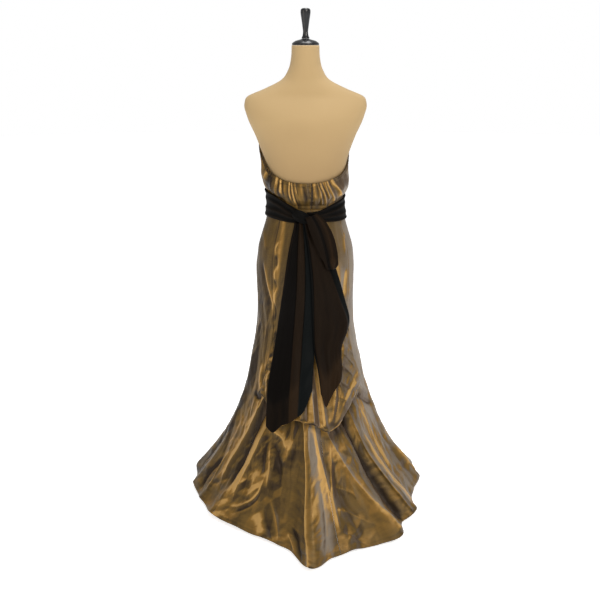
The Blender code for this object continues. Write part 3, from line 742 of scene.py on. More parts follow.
@dataclass
class Finishes:
    """Every material of the gown and its form, made once."""

    taffeta: bpy.types.Material = field(default_factory=lambda: ShotTaffeta().make())
    satin: bpy.types.Material = field(default_factory=lambda: SashSatin().make())
    jersey: bpy.types.Material = field(default_factory=lambda: CottonJersey().make())
    lacquer: bpy.types.Material = field(default_factory=lambda: LACQUER.make())
    steel: bpy.types.Material = field(default_factory=lambda: STEEL.make())
    tape: bpy.types.Material = field(default_factory=lambda: TAPE.make())


# ---------------------------------------------------------------- the form and its stand

@dataclass(frozen=True)
class DressForm:
    """The limbless form: sections of its body, and the cap and finial on its neck."""

    sections: Table = Table(
        ("z", "half_width", "back", "front", "centre_y"),
        (
            (0.715, 0.1530, 0.1200, 0.0940, 0.000),
            (0.800, 0.1560, 0.1230, 0.0965, 0.000),
            (0.860, 0.1515, 0.1165, 0.0970, 0.000),
            (0.920, 0.1360, 0.1010, 0.0940, 0.000),
            (1.000, 0.1180, 0.0830, 0.0880, 0.000),
            (1.070, 0.1250, 0.0880, 0.0960, 0.000),
            (1.160, 0.1370, 0.0980, 0.1080, 0.000),
            (1.225, 0.1600, 0.1020, 0.0960, 0.000),
            (1.290, 0.1880, 0.0900, 0.0800, 0.000),
            (1.330, 0.1955, 0.0680, 0.0640, 0.002),
            (1.352, 0.1850, 0.0540, 0.0520, 0.004),
            (1.374, 0.1340, 0.0500, 0.0490, 0.006),
            (1.402, 0.0780, 0.0470, 0.0470, 0.010),
            (1.432, 0.0560, 0.0480, 0.0470, 0.014),
            (1.470, 0.0460, 0.0480, 0.0460, 0.017),
            (1.508, 0.0440, 0.0460, 0.0440, 0.020),
        ),
    )
    bust_z: float = 1.160
    bust_angle: float = 38.0
    bust_width: float = 24.0
    bust_reach: float = 0.062
    bust_height: float = 0.020
    neck_y: float = 0.020
    cap: tuple[tuple[float, float], ...] = (
        (1.5085, 0.0430), (1.5145, 0.0430), (1.5215, 0.0330), (1.5260, 0.0170), (1.5280, 0.0110),
    )
    finial: tuple[tuple[float, float], ...] = (
        (1.5285, 0.0120), (1.5320, 0.0125), (1.5365, 0.0095), (1.5500, 0.0078),
        (1.5800, 0.0118), (1.6060, 0.0158), (1.6150, 0.0156), (1.6195, 0.0120), (1.6205, 0.0060),
    )

    def radius(self, angle: Array, z: Array) -> Array:
        """Distance from the section's centre: an oval, with two soft swells in front for the bodice."""
        sizes = [self.sections.read(z, name) for name in ("half_width", "back", "front")]
        off = np.abs(np.abs(turned(angle)) - (180.0 - self.bust_angle)) / self.bust_width
        swell = self.bust_height * np.exp(-off**2 - ((z - self.bust_z) / self.bust_reach) ** 2)
        return oval(angle, *sizes) + swell

    def build(self, finishes: Finishes) -> None:
        """The padded body with its two ends, then the cap and finial."""
        bottom, top = self.sections.rows[0][0], self.sections.rows[-1][0]
        heights = np.linspace(top, bottom, 130)
        angle, z = np.meshgrid(np.arange(-180.0, 180.0, 3.0), heights)
        rings = around(angle, self.radius(angle, z), z)
        rings[..., 1] += self.sections.read(z, "centre_y")
        made = ringed_solid("form_torso_body", rings)
        made.data.materials.append(finishes.jersey)
        enlist(made, "form_torso")
        log.info("%s: %d rings", made.name, len(heights))
        turned_piece("form_neck_cap", self.cap, self.neck_y, finishes.lacquer, edge=0.002)
        turned_piece("form_finial", self.finial, self.neck_y, finishes.lacquer, edge=0.004)


@dataclass(frozen=True)
class Stand:
    """The plain stand that the skirt hides: a pole, its collar and a round base."""

    pole_radius: float = 0.0160
    pole_top: float = 0.7145
    collar_radius: float = 0.0340
    collar_height: float = 0.030
    base: tuple[tuple[float, float], ...] = (
        (0.000, 0.1400), (0.009, 0.1400), (0.014, 0.1330), (0.022, 0.0600), (0.034, 0.0300), (0.036, 0.0220),
    )

    def build(self, finishes: Finishes) -> None:
        """Turns the three pieces."""
        shoulder = self.pole_top - self.collar_height
        pole = ((self.base[-1][0] + SEAM, self.pole_radius), (shoulder, self.pole_radius))
        collar = ((shoulder + SEAM, self.collar_radius * 0.6), (self.pole_top, self.collar_radius))
        for node, profile in (("stand_base", self.base), ("stand_pole", pole), ("stand_collar", collar)):
            turned_piece(node, profile, 0.0, finishes.steel)


# ---------------------------------------------------------------- the skirt

@dataclass(frozen=True)
class SkirtShape:
    """The skirt's form: fitted to the knee, then a flare that ends in a train, with its large folds.

    A place from 0 to 1 is between the waist seam and the knee. From 1 to 2 it is on the flare,
    or, on the back panels, between the knee and the swag's edge, and from 2 to 3 it is in the
    tuck behind that edge.
    """

    knee_z: float = 0.600
    hem_z: float = 0.0025
    fitted: Table = Table(
        ("z", "half_width", "back", "front"),
        (
            (1.003, 0.1225, 0.0875, 0.0925),
            (0.960, 0.1300, 0.0955, 0.0960),
            (0.915, 0.1430, 0.1080, 0.0995),
            (0.870, 0.1560, 0.1200, 0.1015),
            (0.820, 0.1610, 0.1280, 0.1025),
            (0.750, 0.1620, 0.1290, 0.1020),
            (0.680, 0.1610, 0.1250, 0.1015),
            (0.600, 0.1650, 0.1215, 0.1035),
        ),
    )
    flared: Table = Table(
        ("angle", "hem_radius", "bend_radius", "bend_z"),
        (
            (-180.0, 0.335, 0.160, 0.170),
            (-150.0, 0.355, 0.180, 0.180),
            (-118.0, 0.380, 0.212, 0.185),
            (-104.0, 0.390, 0.216, 0.188),
            (-90.0, 0.384, 0.218, 0.190),
            (-78.0, 0.384, 0.214, 0.186),
            (-64.0, 0.380, 0.209, 0.178),
            (-48.0, 0.398, 0.205, 0.165),
            (-35.0, 0.402, 0.205, 0.157),
            (-23.0, 0.418, 0.211, 0.149),
            (-12.0, 0.448, 0.220, 0.140),
            (-5.0, 0.486, 0.227, 0.133),
            (2.0, 0.598, 0.230, 0.130),
            (8.0, 0.536, 0.230, 0.130),
            (14.0, 0.512, 0.230, 0.130),
            (20.0, 0.496, 0.227, 0.136),
            (28.0, 0.496, 0.222, 0.143),
            (36.0, 0.506, 0.215, 0.150),
            (43.0, 0.446, 0.211, 0.156),
            (54.0, 0.434, 0.208, 0.165),
            (72.0, 0.380, 0.212, 0.180),
            (92.0, 0.394, 0.218, 0.190),
            (118.0, 0.380, 0.212, 0.185),
            (150.0, 0.355, 0.180, 0.180),
            (180.0, 0.335, 0.160, 0.170),
        ),
    )
    folds: tuple[tuple[float, ...], ...] = (
        # hem_angle, top_angle, width, height, start
        (-166.0, -172.0, 11.0, 0.016, 0.20),
        (-143.0, -150.0, 9.0, 0.022, 0.10),
        (-122.0, -128.0, 8.0, 0.018, 0.25),
        (-104.0, -100.0, 8.5, 0.030, 0.10),
        (-84.0, -78.0, 8.0, 0.026, 0.05),
        (-66.0, -60.0, 7.0, 0.020, 0.30),
        (-50.0, -40.0, 7.0, 0.028, 0.12),
        (-33.0, -28.0, 8.0, 0.022, 0.30),
        (-16.0, -14.0, 7.0, 0.018, 0.25),
        (3.0, 2.0, 6.0, 0.022, 0.10),
        (17.0, 9.0, 6.0, 0.016, 0.15),
        (37.0, 22.0, 6.5, 0.032, 0.12),
        (56.0, 44.0, 7.0, 0.032, 0.08),
        (74.0, 70.0, 8.0, 0.016, 0.30),
        (91.0, 86.0, 8.0, 0.024, 0.10),
        (108.0, 102.0, 8.5, 0.030, 0.15),
        (127.0, 122.0, 8.0, 0.018, 0.25),
        (147.0, 150.0, 9.0, 0.022, 0.10),
        (170.0, 168.0, 11.0, 0.014, 0.20),
    )
    swag: Table = Table(
        ("angle", "edge_z", "reach", "tuck"),
        (
            (-48.0, 0.392, 0.021, 0.030),
            (-38.0, 0.372, 0.026, 0.034),
            (-24.0, 0.312, 0.044, 0.055),
            (-8.0, 0.338, 0.046, 0.055),
            (2.0, 0.334, 0.046, 0.055),
            (8.0, 0.324, 0.048, 0.058),
            (14.0, 0.306, 0.050, 0.060),
            (20.0, 0.312, 0.050, 0.060),
            (28.0, 0.338, 0.048, 0.056),
            (37.0, 0.364, 0.044, 0.048),
            (46.0, 0.390, 0.038, 0.042),
            (56.0, 0.404, 0.030, 0.036),
            (66.0, 0.412, 0.021, 0.031),
        ),
    )
    swag_roll: float = 0.016
    roll_share: float = 0.55    # and at most this share of the swag's reach
    roll_drop: float = 0.005    # how far the roll's lowest line is under its two sides
    tuck_off: float = 0.0036    # how far the tuck's upper edge is from the train behind it

    def fitted_radius(self, angle: Array, z: Array) -> Array:
        """Distance from the axis above the knee: an oval for each height."""
        return oval(angle, *[self.fitted.read(z, name) for name in ("half_width", "back", "front")])

    def flare(self, angle: Array, t: Array) -> tuple[Array, Array]:
        """Distance from the axis and height of the flare without its folds.

        One quadratic curve for each direction, from the knee (t is 0) to the hem (t is 1).
        """
        side = turned(angle)
        hem, bend = self.flared.read(side, "hem_radius"), self.flared.read(side, "bend_radius")
        knee = self.fitted_radius(angle, self.knee_z + 0 * t)
        first, middle, last = (1 - t) ** 2, 2 * t * (1 - t), t**2
        radius = first * knee + middle * bend + last * hem
        z = first * self.knee_z + middle * self.flared.read(side, "bend_z") + last * self.hem_z
        return radius, z

    def fold_height(self, angle: Array, t: Array) -> Array:
        """How far the large folds lift the flare: a rounded ridge each, growing towards the hem."""
        total = np.zeros(np.broadcast(angle, t).shape)
        for hem_angle, top_angle, width, height, start in self.folds:
            ridge = top_angle + (hem_angle - top_angle) * t
            off = np.abs(turned(angle - ridge)) / width
            total += height * ease((t - start) / (1 - start)) ** 0.8 * np.exp(-off**1.5)
        return total

    def flare_points(self, angle: Array, t: Array) -> Array:
        """The flare with its folds, each lifted square to its curve and inside its own column."""
        radius, z = self.flare(angle, t)
        more_radius, more_z = self.flare(angle, t + 0.001)
        run = np.stack([more_radius - radius, more_z - z], axis=-1)
        run /= np.linalg.norm(run, axis=-1, keepdims=True)
        lift = self.fold_height(angle, t)
        return around(angle, radius - run[..., 1] * lift, np.maximum(z + run[..., 0] * lift, self.hem_z))

    def flare_at(self, angle: Array, z: Array) -> Array:
        """How far along its curve the flare passes this height: the root of the quadratic."""
        bend = self.flared.read(turned(angle), "bend_z")
        a = self.knee_z - 2 * bend + self.hem_z
        b = 2 * (bend - self.knee_z)
        return (-b - np.sqrt(np.maximum(b * b - 4 * a * (self.knee_z - z), 0))) / (2 * a)

    def train_radius(self, angle: Array, z: Array) -> Array:
        """Distance from the axis to the flare, folds and all, at a height below the knee."""
        t = self.flare_at(angle, z)
        return self.flare(angle, t)[0] + self.fold_height(angle, t)

    def swag_radius(self, angle: Array, z: Array) -> Array:
        """Distance from the axis to the back panels between the knee and the swag's edge."""
        share = ease((self.knee_z - z) / (self.knee_z - self.swag.read(angle, "edge_z")))
        return self.train_radius(angle, z) + self.swag.read(angle, "reach") * share

    def back_radius(self, angle: Array, z: Array) -> Array:
        """Distance from the axis to the outermost cloth of the back above the swag's edge."""
        low = self.swag_radius(angle, np.minimum(z, self.knee_z))
        return np.where(z >= self.knee_z, self.fitted_radius(angle, np.maximum(z, self.knee_z)), low)

    def ring(self, angle: Array, place: Array) -> Array:
        """The skirt all round, from the waist seam to the hem."""
        angle, place = np.broadcast_arrays(np.asarray(angle, float), np.asarray(place, float))
        z = WAIST_Z + (self.knee_z - WAIST_Z) * place
        upper = around(angle, self.fitted_radius(angle, z), z)
        lower = self.flare_points(angle, np.maximum(place - 1, 0))
        return np.where((place < 1)[..., None], upper, lower)

    def back(self, angle: Array, place: Array) -> Array:
        """The back panels: fitted, puffed out to the swag's edge, rolled under it and tucked up.

        The roll is half a turn, and the tuck a straight run from there up to the train.
        """
        angle, place = np.broadcast_arrays(np.asarray(angle, float), np.asarray(place, float))
        edge = self.swag.read(angle, "edge_z")
        fitted_z = WAIST_Z + (self.knee_z - WAIST_Z) * place
        upper = around(angle, self.fitted_radius(angle, fitted_z), fitted_z)
        low_z = self.knee_z + (edge + self.roll_drop - self.knee_z) * np.clip(place - 1, 0, 1)
        puffed = around(angle, self.swag_radius(angle, low_z), low_z)
        rim = self.swag_radius(angle, edge + self.roll_drop)
        roll = np.minimum(self.swag_roll, self.swag.read(angle, "reach") * self.roll_share)
        half_turn = math.pi * np.clip((place - 2) / 0.5, 0, 1)
        rolled = around(
            angle, rim - roll * 0.5 * (1 - np.cos(half_turn)), edge + self.roll_drop * (1 - np.sin(half_turn))
        )
        top = edge + self.swag.read(angle, "tuck")
        behind = around(angle, self.train_radius(angle, top) + self.tuck_off, top)
        climb = ease((place - 2.5) / 0.5)[..., None]
        tucked = rolled * (1 - climb) + behind * climb
        found = np.where((place < 1)[..., None], upper, puffed)
        return np.where((place > 2)[..., None], tucked, found)


@dataclass(frozen=True)
class Skirt:
    """The skirt's seven panels with their creases."""

    shape: SkirtShape = SkirtShape()
    thickness: float = 0.0008
    train_start: float = 1.13
    upper_creases: tuple[Crease, ...] = (
        # tone on these creases paints highlights on ridges and shade in troughs
        # the long soft dent at the left of the seat, lit along its right side
        Crease(((-68, 0.42), (-61, 0.58), (-54, 0.73), (-49, 0.90)), -6, 12, 1.6, tone=-0.20),
        Crease(((-64, 0.42), (-58, 0.58), (-51, 0.73), (-46, 0.90)), 5, 9, 1.4, tone=0.68),
        # the same on the other side and in front, uneven
        Crease(((62, 0.46), (58, 0.60), (57, 0.76)), -4, 12, 1.6, tone=0.38),
        Crease(((80, 0.35), (74, 0.60), (70, 0.86)), 3, 14, 1.6, cool=0.4),
        Crease(((-88, 0.38), (-82, 0.62), (-80, 0.88)), 3, 12, 1.6, tone=0.22),
        Crease(((130, 0.30), (122, 0.55), (118, 0.80)), -4.5, 13, 1.6),
        Crease(((-140, 0.34), (-128, 0.55), (-124, 0.78)), -5, 13, 1.6, tone=0.30),
        Crease(((172, 0.40), (176, 0.70), (174, 0.98)), 4, 16, 1.6, tone=0.22),
        Crease(((-160, 0.46), (-166, 0.70), (-163, 0.95)), 3.5, 13, 1.5),
        Crease(((150, 0.52), (154, 0.74), (149, 0.98)), 3, 12, 1.5, tone=0.22),
        # drag lines from the hip
        Crease(((-84, 0.20), (-70, 0.26), (-60, 0.36)), 1.8, 7, tone=0.22),
        Crease(((78, 0.18), (66, 0.26), (60, 0.40)), 1.8, 7, tone=0.22),
        # the crinkled golden strip beside the sash
        Crease(((-40, 0.08), (-38, 0.22), (-38, 0.42), (-42, 0.62), (-46, 0.80)), 1.8, 10, 2.2,
               tone=0.32, fade=(0.05, 0.25)),
        Crease(((-42, 0.26), (-45, 0.32), (-42, 0.40)), 2.2, 5, 1.2, tone=0.38),
        Crease(((-44, 0.36), (-41, 0.43), (-44, 0.52)), -2.4, 5, 1.2, tone=-0.30),
        Crease(((-40, 0.44), (-44, 0.52), (-42, 0.60)), 2.6, 5, 1.2, tone=0.45),
        Crease(((-45, 0.55), (-42, 0.63), (-46, 0.70)), -2.4, 5, 1.2, tone=-0.30),
        Crease(((-41, 0.62), (-45, 0.72), (-43, 0.82)), 2.4, 6, 1.2, tone=0.45),
        Crease(((-47, 0.74), (-44, 0.84), (-47, 0.95)), -2.2, 6, 1.2, tone=-0.25),
        # the peach strip at the right of the loop
        Crease(((30, 0.08), (36, 0.24), (44, 0.42), (50, 0.60), (50, 0.86)), 1.5, 14, 2.2,
               tone=0.45, fade=(0.05, 0.30)),
        Crease(((46, 0.62), (49, 0.74), (46, 0.88)), 2.6, 6, tone=0.45),
        Crease(((51, 0.70), (48, 0.82), (52, 0.96)), -2.4, 6, tone=-0.20),
    )
    flare_creases: tuple[Crease, ...] = (
        # tone on these creases paints highlights on ridges and shade in troughs and valleys
        # the left side of the flare painted darker and olive, and the right side lilac: painted shade and
        # painted light
        Crease(((-78, 1.02), (-80, 1.30), (-84, 1.70)), 4, 22, 1.7, tone=-0.17),
        Crease(((72, 0.10), (74, 0.60), (72, 1.10), (78, 1.60)), 0, 60, 2.5, cool=0.35, fade=(0.05, 0.2)),
        Crease(((-58, 1.14), (-56, 1.22), (-50, 1.26)), 8, 10, tone=0.50, fade=(0.3, 0.05)),
        Crease(((-62, 1.28), (-55, 1.30), (-49, 1.29)), -8, 7, tone=-0.9, fade=(0.3, 0.05)),
        Crease(((64, 1.30), (76, 1.36), (88, 1.41)), -8, 7, tone=-0.9, fade=(0.05, 0.3)),
        Crease(((64, 1.25), (75, 1.30), (88, 1.34)), 8, 10, cool=0.4, fade=(0.05, 0.4)),
        # the cloth just under the swag, in its shade
        Crease(((8, 1.40), (20, 1.42), (30, 1.38), (42, 1.33), (54, 1.30), (64, 1.29)), -5, 22, 1.8,
               tone=-0.55, fade=(0.2, 0.1)),
        # no lilac in the cloth that is turned away at the left
        Crease(((-66, 1.30), (-56, 1.65), (-45, 2.00)), 0, 85, 3.0, tone=0.14, cool=-0.45, fade=(0.2, 0.0)),
        Crease(((-70, 0.40), (-66, 0.90), (-68, 1.45)), 0, 50, 2.5,
               tone=-0.04, cool=-0.45, fade=(0.2, 0.2)),
        Crease(((12, 1.40), (16, 1.65), (20, 1.85)), 0, 40, 2.5, tone=-0.16, fade=(0.1, 0.3)),
        # crest of the left ridge of the train, and the dark side of it
        Crease(((-43, 1.24), (-50, 1.38), (-56, 1.52), (-60, 1.70), (-58, 1.90)), 10, 12, 1.15,
               lean=1.6, tone=0.38, fade=(0.1, 0.2)),
        Crease(((-38, 1.26), (-44, 1.44), (-48, 1.62), (-50, 1.84)), -11, 14, 1.4,
               tone=-0.35, fade=(0.1, 0.25)),
        Crease(((-36, 1.36), (-40, 1.54), (-43, 1.72), (-42, 1.88)), 9, 10, 1.2, tone=0.52),
        # the facets left of the wide dark panel
        Crease(((-36, 1.58), (-33, 1.70), (-33, 1.82)), 4, 22, 1.6, lean=0.5, tone=0.50, fade=(0.4, 0.2)),
        Crease(((-27, 1.66), (-28, 1.76), (-34, 1.85), (-43, 1.90)), 5, 10, 1.1, lean=0.4, tone=0.40),
        Crease(((-26, 1.72), (-28, 1.80), (-33, 1.88), (-40, 1.93)), -3, 6, 1.2, tone=-0.25),
        Crease(((-33, 1.44), (-30, 1.56), (-27, 1.66)), -6, 10, 1.4, tone=-0.30),
        Crease(((-29, 1.48), (-25, 1.60), (-23, 1.72)), 5, 8, 1.2, tone=0.45),
        Crease(((-26, 1.86), (-22, 1.92), (-18, 2.00)), 4, 16, 2.0, tone=0.60),
        Crease(((-22, 1.82), (-17, 1.92), (-13, 2.00)), -3, 7, 1.2, tone=-0.15),
        Crease(((-20, 1.74), (-14, 1.86), (-11, 1.98)), 3, 6, 1.2, tone=0.38),
        Crease(((-8, 1.90), (-5, 1.95), (-3, 2.00)), 6, 7, 1.2, tone=0.45),
        Crease(((-6, 1.86), (-3, 1.93), (-1, 2.00)), -7, 6, 1.2, tone=-0.40),
        # the wide smooth brown panel
        Crease(((-14, 1.46), (-13, 1.66), (-12, 1.84), (-11, 1.98)), -6, 40, 3.0,
               tone=-0.08, fade=(0.2, 0.1)),
        # golden curve under the left of the swag
        Crease(((-34, 1.40), (-26, 1.42), (-18, 1.44), (-12, 1.50)), 8, 9, tone=0.68),
        Crease(((-12, 1.42), (-13, 1.50), (-17, 1.57)), 5, 14, 1.6, tone=0.40),
        Crease(((-28, 1.47), (-21, 1.51), (-17, 1.60), (-14, 1.68)), -5, 8, 1.2, tone=-0.30),
        # the central pipe: a golden line at each side, lilac between them
        Crease(((-2, 1.26), (0, 1.50), (0, 1.76), (1, 2.00)), 7, 8, 1.15,
               lean=0.6, tone=0.68, fade=(0.1, 0.0)),
        Crease(((4, 1.28), (7, 1.52), (8, 1.76), (7, 2.00)), 2, 26, 3.0,
               tone=0.08, cool=0.7, fade=(0.1, 0.1)),
        Crease(((5, 1.26), (10, 1.50), (13, 1.72), (14, 1.90)), 6, 7, 1.15,
               lean=1.6, tone=0.68, fade=(0.1, 0.2)),
        Crease(((8, 1.60), (8, 1.80), (6, 2.00)), -3, 8, cool=0.4),
        # the right ridge with its golden shoulder, and the creases that fan out beside the pipe
        Crease(((10, 1.26), (20, 1.44), (28, 1.62), (34, 1.82), (38, 2.00)), 8, 10, 1.15,
               lean=1.8, tone=0.38, cool=0.5, fade=(0.05, 0.05)),
        Crease(((12, 1.40), (18, 1.60), (22, 1.80), (26, 2.00)), -4, 24, 2.4, tone=-0.17),
        Crease(((13, 1.80), (14, 1.66), (17, 1.52), (20, 1.40)), 4, 5, 1.1, tone=0.26, fade=(0.1, 0.5)),
        Crease(((14, 1.76), (20, 1.79), (27, 1.86), (33, 1.94)), 5, 7, 1.1,
               lean=2.4, tone=0.26, fade=(0.1, 0.5)),
        Crease(((15, 1.88), (19, 1.92), (24, 2.00)), -4, 8, 1.2, tone=-0.15, cool=0.3),
        Crease(((15, 1.64), (20, 1.66), (25, 1.70), (27, 1.74)), 2, 4, 1.1, tone=0.26),
        # the deep valley at the right, the ridge beyond it and its golden stripe
        Crease(((30, 1.20), (38, 1.46), (44, 1.72), (47, 2.00)), -14, 13, 1.5,
               tone=-1.2, fade=(0.05, 0.05)),
        Crease(((40, 1.22), (46, 1.48), (51, 1.74), (53, 2.00)), 7, 8, 1.15,
               lean=0.5, tone=0.22, cool=0.4, fade=(0.05, 0.05)),
        Crease(((50, 1.40), (56, 1.62), (60, 1.84), (62, 2.00)), 5, 12, 1.5, tone=0.68, fade=(0.2, 0.1)),
        Crease(((62, 1.30), (68, 1.56), (70, 1.80)), 4, 10, 1.4, tone=0.38),
        Crease(((82, 1.50), (84, 1.74), (86, 1.98)), -6, 12, 1.4, tone=-0.25, cool=0.2),
        Crease(((88, 1.70), (90, 1.84), (92, 1.98)), 6, 7, 1.2, tone=0.60),
        # folds of the hem at the left, and plain ones round the front
        Crease(((-72, 1.70), (-76, 1.84), (-74, 1.98)), -7, 10, 1.4, tone=-0.30),
        Crease(((-66, 1.62), (-68, 1.78), (-66, 1.96)), 7, 9, tone=0.60),
        Crease(((-84, 1.62), (-87, 1.78), (-86, 1.96)), 6, 9, tone=0.38),
        Crease(((-94, 1.50), (-95, 1.74), (-94, 1.98)), -6, 12, 1.5, tone=-0.20),
        Crease(((-112, 1.40), (-113, 1.70), (-114, 2.00)), -5, 13, 1.5, tone=-0.15),
        Crease(((-132, 1.44), (-134, 1.70), (-133, 2.00)), 5, 12, 1.4, tone=0.30),
        Crease(((-155, 1.36), (-154, 1.70), (-153, 2.00)), -6, 14, 1.5, tone=-0.20),
        Crease(((-176, 1.50), (-177, 1.74), (-178, 2.00)), 4.5, 12, 1.4, tone=0.30),
        Crease(((158, 1.34), (159, 1.66), (160, 2.00)), -6, 14, 1.5, tone=-0.20),
        Crease(((137, 1.46), (137, 1.72), (138, 2.00)), 4.5, 11, 1.4, tone=0.38),
        Crease(((116, 1.52), (117, 1.76), (118, 2.00)), -5.5, 12, 1.5, tone=-0.15, cool=0.2),
        Crease(((99, 1.44), (99, 1.72), (100, 2.00)), 4.5, 10, 1.4, tone=0.38),
    )
    swag_creases: tuple[Crease, ...] = (
        # tone on these creases paints highlights on ridges and shade in troughs
        # pleats that run down to the swag's edge in the middle
        Crease(((-5, 1.30), (-4, 1.62), (-3, 1.99)), 6, 6, 1.2, lean=0.6, tone=0.45, fade=(0.4, 0.0)),
        Crease(((0, 1.36), (1, 1.66), (1, 1.99)), -6, 6, 1.2, tone=-0.25, fade=(0.4, 0.0)),
        Crease(((5, 1.10), (5, 1.50), (6, 1.99)), 6, 9, 1.4, cool=0.9, fade=(0.3, 0.0)),
        Crease(((9, 1.20), (10, 1.56), (10, 1.99)), -6, 6, 1.2, tone=-0.15, cool=0.6, fade=(0.3, 0.0)),
        Crease(((13, 1.16), (14, 1.50), (14, 1.96)), 5, 7, tone=0.25, fade=(0.3, 0.0)),
        # the crinkled golden surface that rises from the low corner to the right
        Crease(((19, 1.98), (27, 1.76), (36, 1.50), (58, 1.22)), 3, 30, 2.2, tone=0.02, fade=(0.05, 0.2)),
        Crease(((19, 1.96), (26, 1.72), (34, 1.50), (44, 1.20)), 5, 4, 1.1, tone=0.25),
        Crease(((20, 1.94), (27, 1.80), (33, 1.60)), -5, 4, 1.15, tone=-0.30),
        Crease(((24, 1.60), (30, 1.62), (34, 1.70)), 4, 4, 1.15, tone=0.30),
        Crease(((26, 1.44), (33, 1.50), (38, 1.46)), -4.5, 4, 1.15, tone=-0.30),
        Crease(((30, 1.30), (36, 1.38), (43, 1.36)), 4, 4, 1.15, tone=0.38),
        Crease(((34, 1.12), (38, 1.26), (48, 1.24)), -4, 5, 1.15, tone=-0.25),
        Crease(((38, 1.04), (43, 1.16), (50, 1.14)), 4, 5, 1.15, tone=0.38),
        Crease(((42, 1.60), (40, 1.40), (44, 1.18)), 4, 4, 1.15, tone=0.30),
        Crease(((26, 1.92), (38, 1.88), (50, 1.90), (62, 1.92)), 4, 4, 1.1, tone=0.35),
        # slantwise crinkles across the surface at the right
        Crease(((22, 1.70), (30, 1.82), (36, 1.95)), 3, 4, 1.1, tone=-0.30),
        Crease(((28, 1.56), (36, 1.70), (44, 1.88)), 3, 4, 1.1, tone=-0.30),
        Crease(((36, 1.44), (44, 1.58), (53, 1.80)), 3, 4, 1.1, tone=-0.30),
        Crease(((46, 1.36), (53, 1.50), (60, 1.70)), 3, 4, 1.1, tone=-0.25),
        # crushed fold at the left, under the tail
        Crease(((-25, 1.96), (-20, 1.78), (-14, 1.72), (-8, 1.82)), 8, 7, 1.2, tone=0.52),
        Crease(((-24, 1.84), (-18, 1.90), (-10, 1.92)), -7, 6, 1.2, tone=-0.40),
        Crease(((-19, 1.66), (-15, 1.76), (-14, 1.90)), 6, 5, 1.15, tone=0.38),
        Crease(((-30, 1.70), (-27, 1.84), (-25, 1.98)), 6, 6, 1.2, tone=0.38),
        Crease(((-44, 1.60), (-41, 1.78), (-38, 1.98)), 7, 7, 1.2, tone=0.45),
        Crease(((-40, 1.40), (-36, 1.66), (-33, 1.94)), -7, 7, 1.2, tone=-0.35),
    )
    facet_layers: Table = Table(
        ("size", "stretch", "seed", "weight"),
        (
            (0.030, 0.40, 3, 1.00),
            (0.014, 0.62, 8, 0.50),
            (0.007, 0.80, 12, 0.14),
        ),
    )
    mean_radius: float = 0.20       # turns an angle into a distance across the cloth
    place_length: float = 0.45      # and a place into a distance down it
    hem_place: float = 1.975        # where the hem is stitched, and how wide and high its ridge is
    hem_width: float = 0.004
    hem_lift: float = 0.0006
    seam_dip: float = 0.0007        # how far a seam sinks, and over how many degrees
    seam_width: float = 0.9
    lowest: float = 0.0016

    def dressed(
        self, skin: Skin, creases: Sequence[Crease], angle: Array, place: Array, crush: float
    ) -> tuple[Array, Dressing]:
        """A panel's outer face: the skin, lifted along its normals by creases and facets.

        Where the cloth is turned up or to the left of its skin it is painted lighter and more golden,
        and where it is turned to the right more lilac: painted light that follows each facet's slope.

        Args:
            skin: The panel's surface.
            creases: What lies on it.
            angle: Angles of the grid.
            place: Places of the grid.
            crush: How far the facets lift the crushed parts.

        Returns:
            The points and what was laid on them.
        """
        plain = skin(angle, place)
        laid = Dressing.of(creases, skin, plain)
        u, v = np.radians(angle) * self.mean_radius, place * self.place_length
        u, v = u + 0.010 * drift(u, v, 0.07, 5), v + 0.030 * drift(u, v, 0.09, 6)
        crushed = 0 * u
        for size, stretch, seed, weight in self.facet_layers.rows:
            crushed += weight * facets(u, v * stretch, size, seed)
        laid.lift += crush * (0.10 + 0.90 * ease((place - 0.30) / 1.2)) * crushed
        edge = np.minimum(angle - angle[:, :1], angle[:, -1:] - angle)
        laid.lift -= self.seam_dip * np.exp(-((edge / self.seam_width) ** 2))
        hem = self.hem_lift * np.exp(-(((place - self.hem_place) / self.hem_width) ** 2))
        laid.lift += np.where(place > 1.5, hem, 0.0)
        points = plain + skin_normals(skin, angle, place) * laid.lift[..., None]
        points[..., 2] = np.maximum(points[..., 2], self.lowest)
        # painted light: facets turned up or to the left get a lighter, golder tone, and facets turned right
        # more lilac
        turned_by = facing(points) - facing(plain)
        a = np.radians(angle)
        sideways = turned_by[..., 0] * np.cos(a) + turned_by[..., 1] * np.sin(a)
        laid.tone += np.clip(1.2 * turned_by[..., 2] - 0.9 * sideways, -0.45, 0.45)
        laid.cool += np.clip(0.7 * sideways, -0.25, 0.25)
        return points, laid

    def panel(
        self, node: str, skin: Skin, creases: Sequence[Crease], seams: tuple[float, float], places: Array,
        step: float, crush: float, held: Held = Held.HUNG, rests_on: tuple[str, ...] = ("form_torso",),
    ) -> ClothPiece:
        """One panel between two seams, with half a seam's gap taken off each side.

        Args:
            node: The node that it stands for.
            skin: The panel's surface.
            creases: What lies on it.
            seams: Angles of its left and right seams.
            places: Places of its rows.
            step: Spacing of its columns, in degrees.
            crush: How far the facets lift it.
            held: How the cloth is held.
            rests_on: What carries it.

        Returns:
            The piece, ready to build.
        """
        columns = int(round((seams[1] - seams[0]) / step)) + 1
        angle, place = np.meshgrid(np.linspace(*seams, columns), places)
        points, laid = self.dressed(skin, creases, angle, place, crush)
        open_seams(points, angle)
        return ClothPiece(node, points, self.thickness, laid.tone, laid.cool, held, rests_on)

